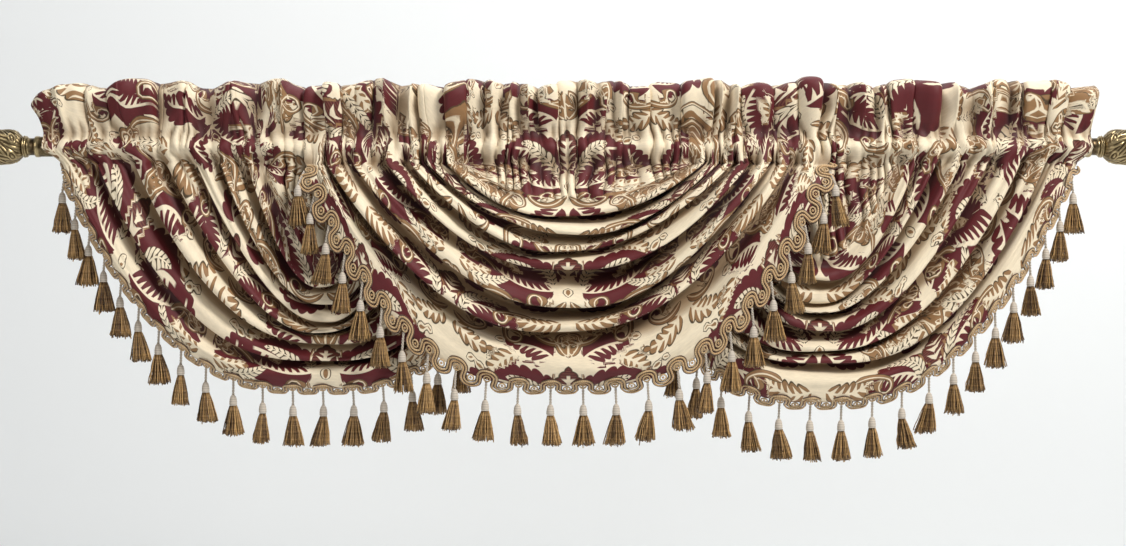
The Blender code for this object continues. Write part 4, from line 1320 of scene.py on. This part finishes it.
# %% Sheets
for name, (piece, area, size) in valances.items():
    print(f"{piece.name}: flat {size[0]:.2f} by {size[1]:.2f} m, {area:.2f} square metres of cloth")

# %% [markdown]
# ## Rod, collars and finials
# The rod is a round tube with a turned ring and a neck at each end, and a collar joins it to the
# finial. All three are profiles turned round the X axis. The finial is carved: leaves wind round
# it, each with a rib and veins, and a scroll curls at the foot of each leaf. The carving is a
# height that is added to the turned radius.

# %% Turned metal
FINIAL_START, FINIAL_LENGTH = 728.1, 84.0
FINIAL_PROFILE = (
    (0.0, 12.0), (0.03, 15.5), (0.08, 19.0), (0.16, 21.6), (0.27, 22.6), (0.42, 23.0),
    (0.58, 21.4), (0.73, 17.2), (0.86, 11.2), (0.95, 6.0), (1.0, 1.6),
)
COLLAR_PROFILE = (
    (0.0, 9.0), (0.02, 12.0), (0.12, 13.8), (0.30, 14.6), (0.45, 14.2),
    (0.55, 14.2), (0.72, 15.0), (0.88, 14.0), (0.98, 12.0), (1.0, 9.0),
)
LEAST_RADIUS = 0.4

# The turned end of the rod: the distance from its end and the change of its radius there
ROD_END = (
    (0.0, -3.0), (0.3, -1.0), (2.0, -2.0), (8.0, -2.0), (10.0, -1.2),
    (10.6, 0.5), (13.0, 0.9), (16.0, 0.5), (17.0, 0.0),
)

# The carving: heights in millimetres, and widths as shares of a leaf
FINIAL_LEAVES, FINIAL_TWIST = 5, 0.9
LEAF_HEIGHT, LEAF_OVERLAP, LEAF_SUNK = 2.4, 1.4, 1.8
VEIN_ACROSS, VEIN_ALONG = 4.5, 5.0
RIB_HEIGHT, RIB_WIDTH = 0.9, 0.05
CURL_SIDE, CURL_SHARE, CURL_HEIGHT = 0.12, 0.13, 1.2


def turned(name, along, radius, sides=72, carve=None):
    """A surface turned round the X axis, in millimetres: the circle of each radius at its place.

    carve gives a height from the share along and the angle, which is added to the radius.
    """
    angle = np.arange(sides) * math.tau / sides
    share = (along - along[0]) / (along[-1] - along[0])
    radii = radius[:, None] + (carve(share[:, None], angle[None]) if carve else 0.0 * angle[None])
    x = np.broadcast_to(along[:, None], radii.shape)
    points = np.stack([x, radii * np.cos(angle), radii * np.sin(angle)], axis=2).reshape(-1, 3)
    number = np.arange(len(points)).reshape(radii.shape)
    body = cells(np.concatenate([number, number[:, :1]], axis=1))
    return build_mesh(name, points * MM, [body, np.stack([number[0], number[-1, ::-1]])])


def leaf_carving(share, angle):
    """Carved height: winding leaves with overlapping edges, a rib, veins and a scroll at the foot."""
    place = angle * FINIAL_LEAVES / math.tau + FINIAL_TWIST * FINIAL_LEAVES * share / 2.0
    side = place - np.floor(place) - 0.5
    body = np.clip(np.sin(math.pi * np.clip(share * 1.02 + 0.02, 0.0, 1.0)), 0.0, 1.0) ** 0.6
    leaf = LEAF_HEIGHT * (1.0 - np.abs(2.0 * side) ** 3.0) + LEAF_OVERLAP * side
    veins = np.cos(math.tau * (VEIN_ACROSS * np.abs(side) - VEIN_ALONG * share))
    rib = RIB_HEIGHT * np.exp(-(side / RIB_WIDTH) ** 2)
    spread = np.hypot((side + CURL_SIDE) * 2.6, (share - CURL_SHARE) * 11.0)
    curl = np.exp(-(spread / 0.75) ** 4) * (0.6 + 1.3 * np.cos(math.tau * (spread * 1.7 - 0.1)))
    carved = leaf + veins * (1.0 - np.exp(-(spread / 0.8) ** 4)) + rib - LEAF_SUNK
    return body * carved + CURL_HEIGHT * curl * body


def smooth_profile(profile, count):
    """Places and radii along a profile, as a Catmull-Rom curve through its points."""
    steps = max(2, count // (len(profile) - 1))
    curve = flowing(np.array(profile, dtype=float), steps)
    return curve[:, 0], np.maximum(curve[:, 1], LEAST_RADIUS)


PATINA_DARK, PATINA_PALE = linear(50, 40, 27), linear(98, 80, 54)
RUBBED_METAL = linear(206, 184, 138)


def build_bronze_group():
    """Node group for aged bronze: a dark patina with pale metal where hands and cloth rub."""
    g, entry, leave = new_group(
        "aged_bronze_finish", [("Worn", "value", 0.5)], [("Color", "colour"), ("Roughness", "value")])
    place = g.add("ShaderNodeTexCoord", output=3)
    blotch = g.add("ShaderNodeTexNoise", {"Vector": place, "Scale": 90.0, "Detail": 4.0, "Roughness": 0.6})
    edge = g.add("ShaderNodeNewGeometry", output=7)
    rubbed = g.rise(g.math("MULTIPLY_ADD", blotch, 0.10, edge), 0.57, 0.09)
    rubbed = g.math("MULTIPLY", rubbed, entry.outputs["Worn"])
    patina = g.mix(blotch, PATINA_DARK, PATINA_PALE)
    g.set(leave.inputs["Color"], g.mix(rubbed, patina, RUBBED_METAL))
    matt = g.math("MULTIPLY_ADD", blotch, 0.14, 0.30)
    g.set(leave.inputs["Roughness"], g.math("MULTIPLY_ADD", rubbed, -0.12, matt))
    return g.tree


bronze_group = build_bronze_group()
bronze, n, shader = new_material("aged_bronze")
finish = place_group(n, bronze_group, Worn=0.9)
n.set(shader.inputs["Base Color"], finish.outputs["Color"])
n.set(shader.inputs["Roughness"], finish.outputs["Roughness"])
shader.inputs["Metallic"].default_value = 0.85

half = rod_half / MM
radius = rod_radius / MM
end = np.array([(half - inward, radius + change) for inward, change in ROD_END])
profile = np.concatenate([end * (-1.0, 1.0), [(0.0, radius)], end[::-1]])
mesh = turned("rod_tube", profile[:, 0], profile[:, 1])
add_piece("rod_tube", mesh, bronze, ("rod",), outward=True)
for side, name in ((-1.0, "left"), (1.0, "right")):
    low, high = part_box(f"collar_{name}")
    inner, outer = sorted((abs(low.x) / MM, abs(high.x) / MM))
    along, radii = smooth_profile(COLLAR_PROFILE, 40)
    mesh = turned(f"collar_ring_{name}", side * (inner + along * (outer - inner)), radii)
    add_piece(f"collar_ring_{name}", mesh, bronze, (f"collar_{name}",), outward=True)
    along, radii = smooth_profile(FINIAL_PROFILE, 110)
    place = side * (FINIAL_START + along * FINIAL_LENGTH)
    mesh = turned(f"finial_carved_{name}", place, radii, 150, leaf_carving)
    add_piece(f"finial_carved_{name}", mesh, bronze, (f"finial_{name}",), outward=True)

# %% [markdown]
# ## Camera, light and floor
# The camera looks straight at the set from two and a half metres away. A pale floor that curves
# up into a wall stands behind it, and large soft lamps light it like a studio. The wall can be
# seen only from its front, so that the back of the set shows too.

# %% Stage
CAMERA_DISTANCE, CAMERA_HEIGHT = 2.6, -0.254
CAMERA_LENS, CAMERA_SHIFT = 61.6, 0.055
STAGE_HALF_WIDTH = 9.0
FLOOR_FRONT, FLOOR_HEIGHT = -4.0, -1.15
CURVE_DEPTH, CURVE_HEIGHT, CURVE_RADIUS = 0.55, -0.80, 0.35
WALL_DEPTH, WALL_TOP = 0.9, 2.6
AIM = (0.0, 0.0, -0.20)


def build_stage():
    """Floor and wall as one sheet: a flat floor, a quarter circle and a wall."""
    turn = np.linspace(0.0, math.pi / 2, 9)
    depth = np.concatenate([[FLOOR_FRONT], CURVE_DEPTH + CURVE_RADIUS * np.sin(turn), [WALL_DEPTH]])
    height = np.concatenate([[FLOOR_HEIGHT], CURVE_HEIGHT - CURVE_RADIUS * np.cos(turn), [WALL_TOP]])
    side = np.array([STAGE_HALF_WIDTH, -STAGE_HALF_WIDTH])
    grid = np.stack(np.broadcast_arrays(side[None], depth[:, None], height[:, None]), axis=2)
    index = np.arange(grid.shape[0] * 2).reshape(-1, 2)
    mesh = build_mesh("studio_floor", grid.reshape(-1, 3), [cells(index)])
    mesh.shade_smooth()
    paint = bpy.data.materials.new("studio_paint")
    paint.use_nodes = True
    shader = paint.node_tree.nodes["Principled BSDF"]
    shader.inputs["Base Color"].default_value = (0.84, 0.86, 0.87, 1.0)
    shader.inputs["Roughness"].default_value = 0.9
    paper = Nodes(paint.node_tree)
    behind = paper.add("ShaderNodeNewGeometry", output=6)
    paper.set(shader.inputs["Alpha"], paper.math("SUBTRACT", 1.0, behind))
    mesh.materials.append(paint)
    floor = bpy.data.objects.new("studio_floor", mesh)
    bpy.context.scene.collection.objects.link(floor)
    floor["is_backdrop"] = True


def add_lamp(name, place, target, size, power, colour):
    """A square area lamp at a place, turned to its target."""
    light = bpy.data.lights.new(name, "AREA")
    light.size = size
    light.energy = power
    light.color = colour
    lamp = bpy.data.objects.new(name, light)
    lamp.location = place
    direction = np.array(target) - np.array(place)
    tilt = math.atan2(math.hypot(direction[0], direction[1]), -direction[2])
    turn = math.atan2(direction[0], -direction[1]) + math.pi
    lamp.rotation_euler = (tilt, 0.0, turn)
    bpy.context.scene.collection.objects.link(lamp)


build_stage()
add_lamp("key", (2.3, -1.95, 2.3), AIM, 1.0, 146.0, (1.0, 0.98, 0.945))
add_lamp("fill", (-1.7, -2.1, 0.7), AIM, 1.4, 19.0, (1.0, 0.98, 0.95))
add_lamp("backdrop", (0.0, 0.30, 1.7), (0.0, 0.90, -0.30), 1.6, 20.0, (0.97, 0.985, 1.0))
world = bpy.data.worlds.new("studio_air")
world.use_nodes = True
background = world.node_tree.nodes["Background"]
background.inputs["Color"].default_value = (0.90, 0.93, 0.97, 1.0)
background.inputs["Strength"].default_value = 0.10
bpy.context.scene.world = world
bpy.context.scene.view_settings.view_transform = "Standard"

camera_data = bpy.data.cameras.new("camera")
camera_data.lens = CAMERA_LENS
camera_data.shift_y = CAMERA_SHIFT
camera = bpy.data.objects.new("camera", camera_data)
camera.location = (0.0, -CAMERA_DISTANCE, CAMERA_HEIGHT)
camera.rotation_euler = (math.pi / 2, 0.0, 0.0)
bpy.context.scene.collection.objects.link(camera)
bpy.context.scene.camera = camera

# %% [markdown]
# ## Sizes and finish
# The dressed set has to fill the same box as the CAD model, and the box that it fills is printed.

low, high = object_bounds()
print("visual box", [round(v, 3) for corner in (low, high) for v in corner])
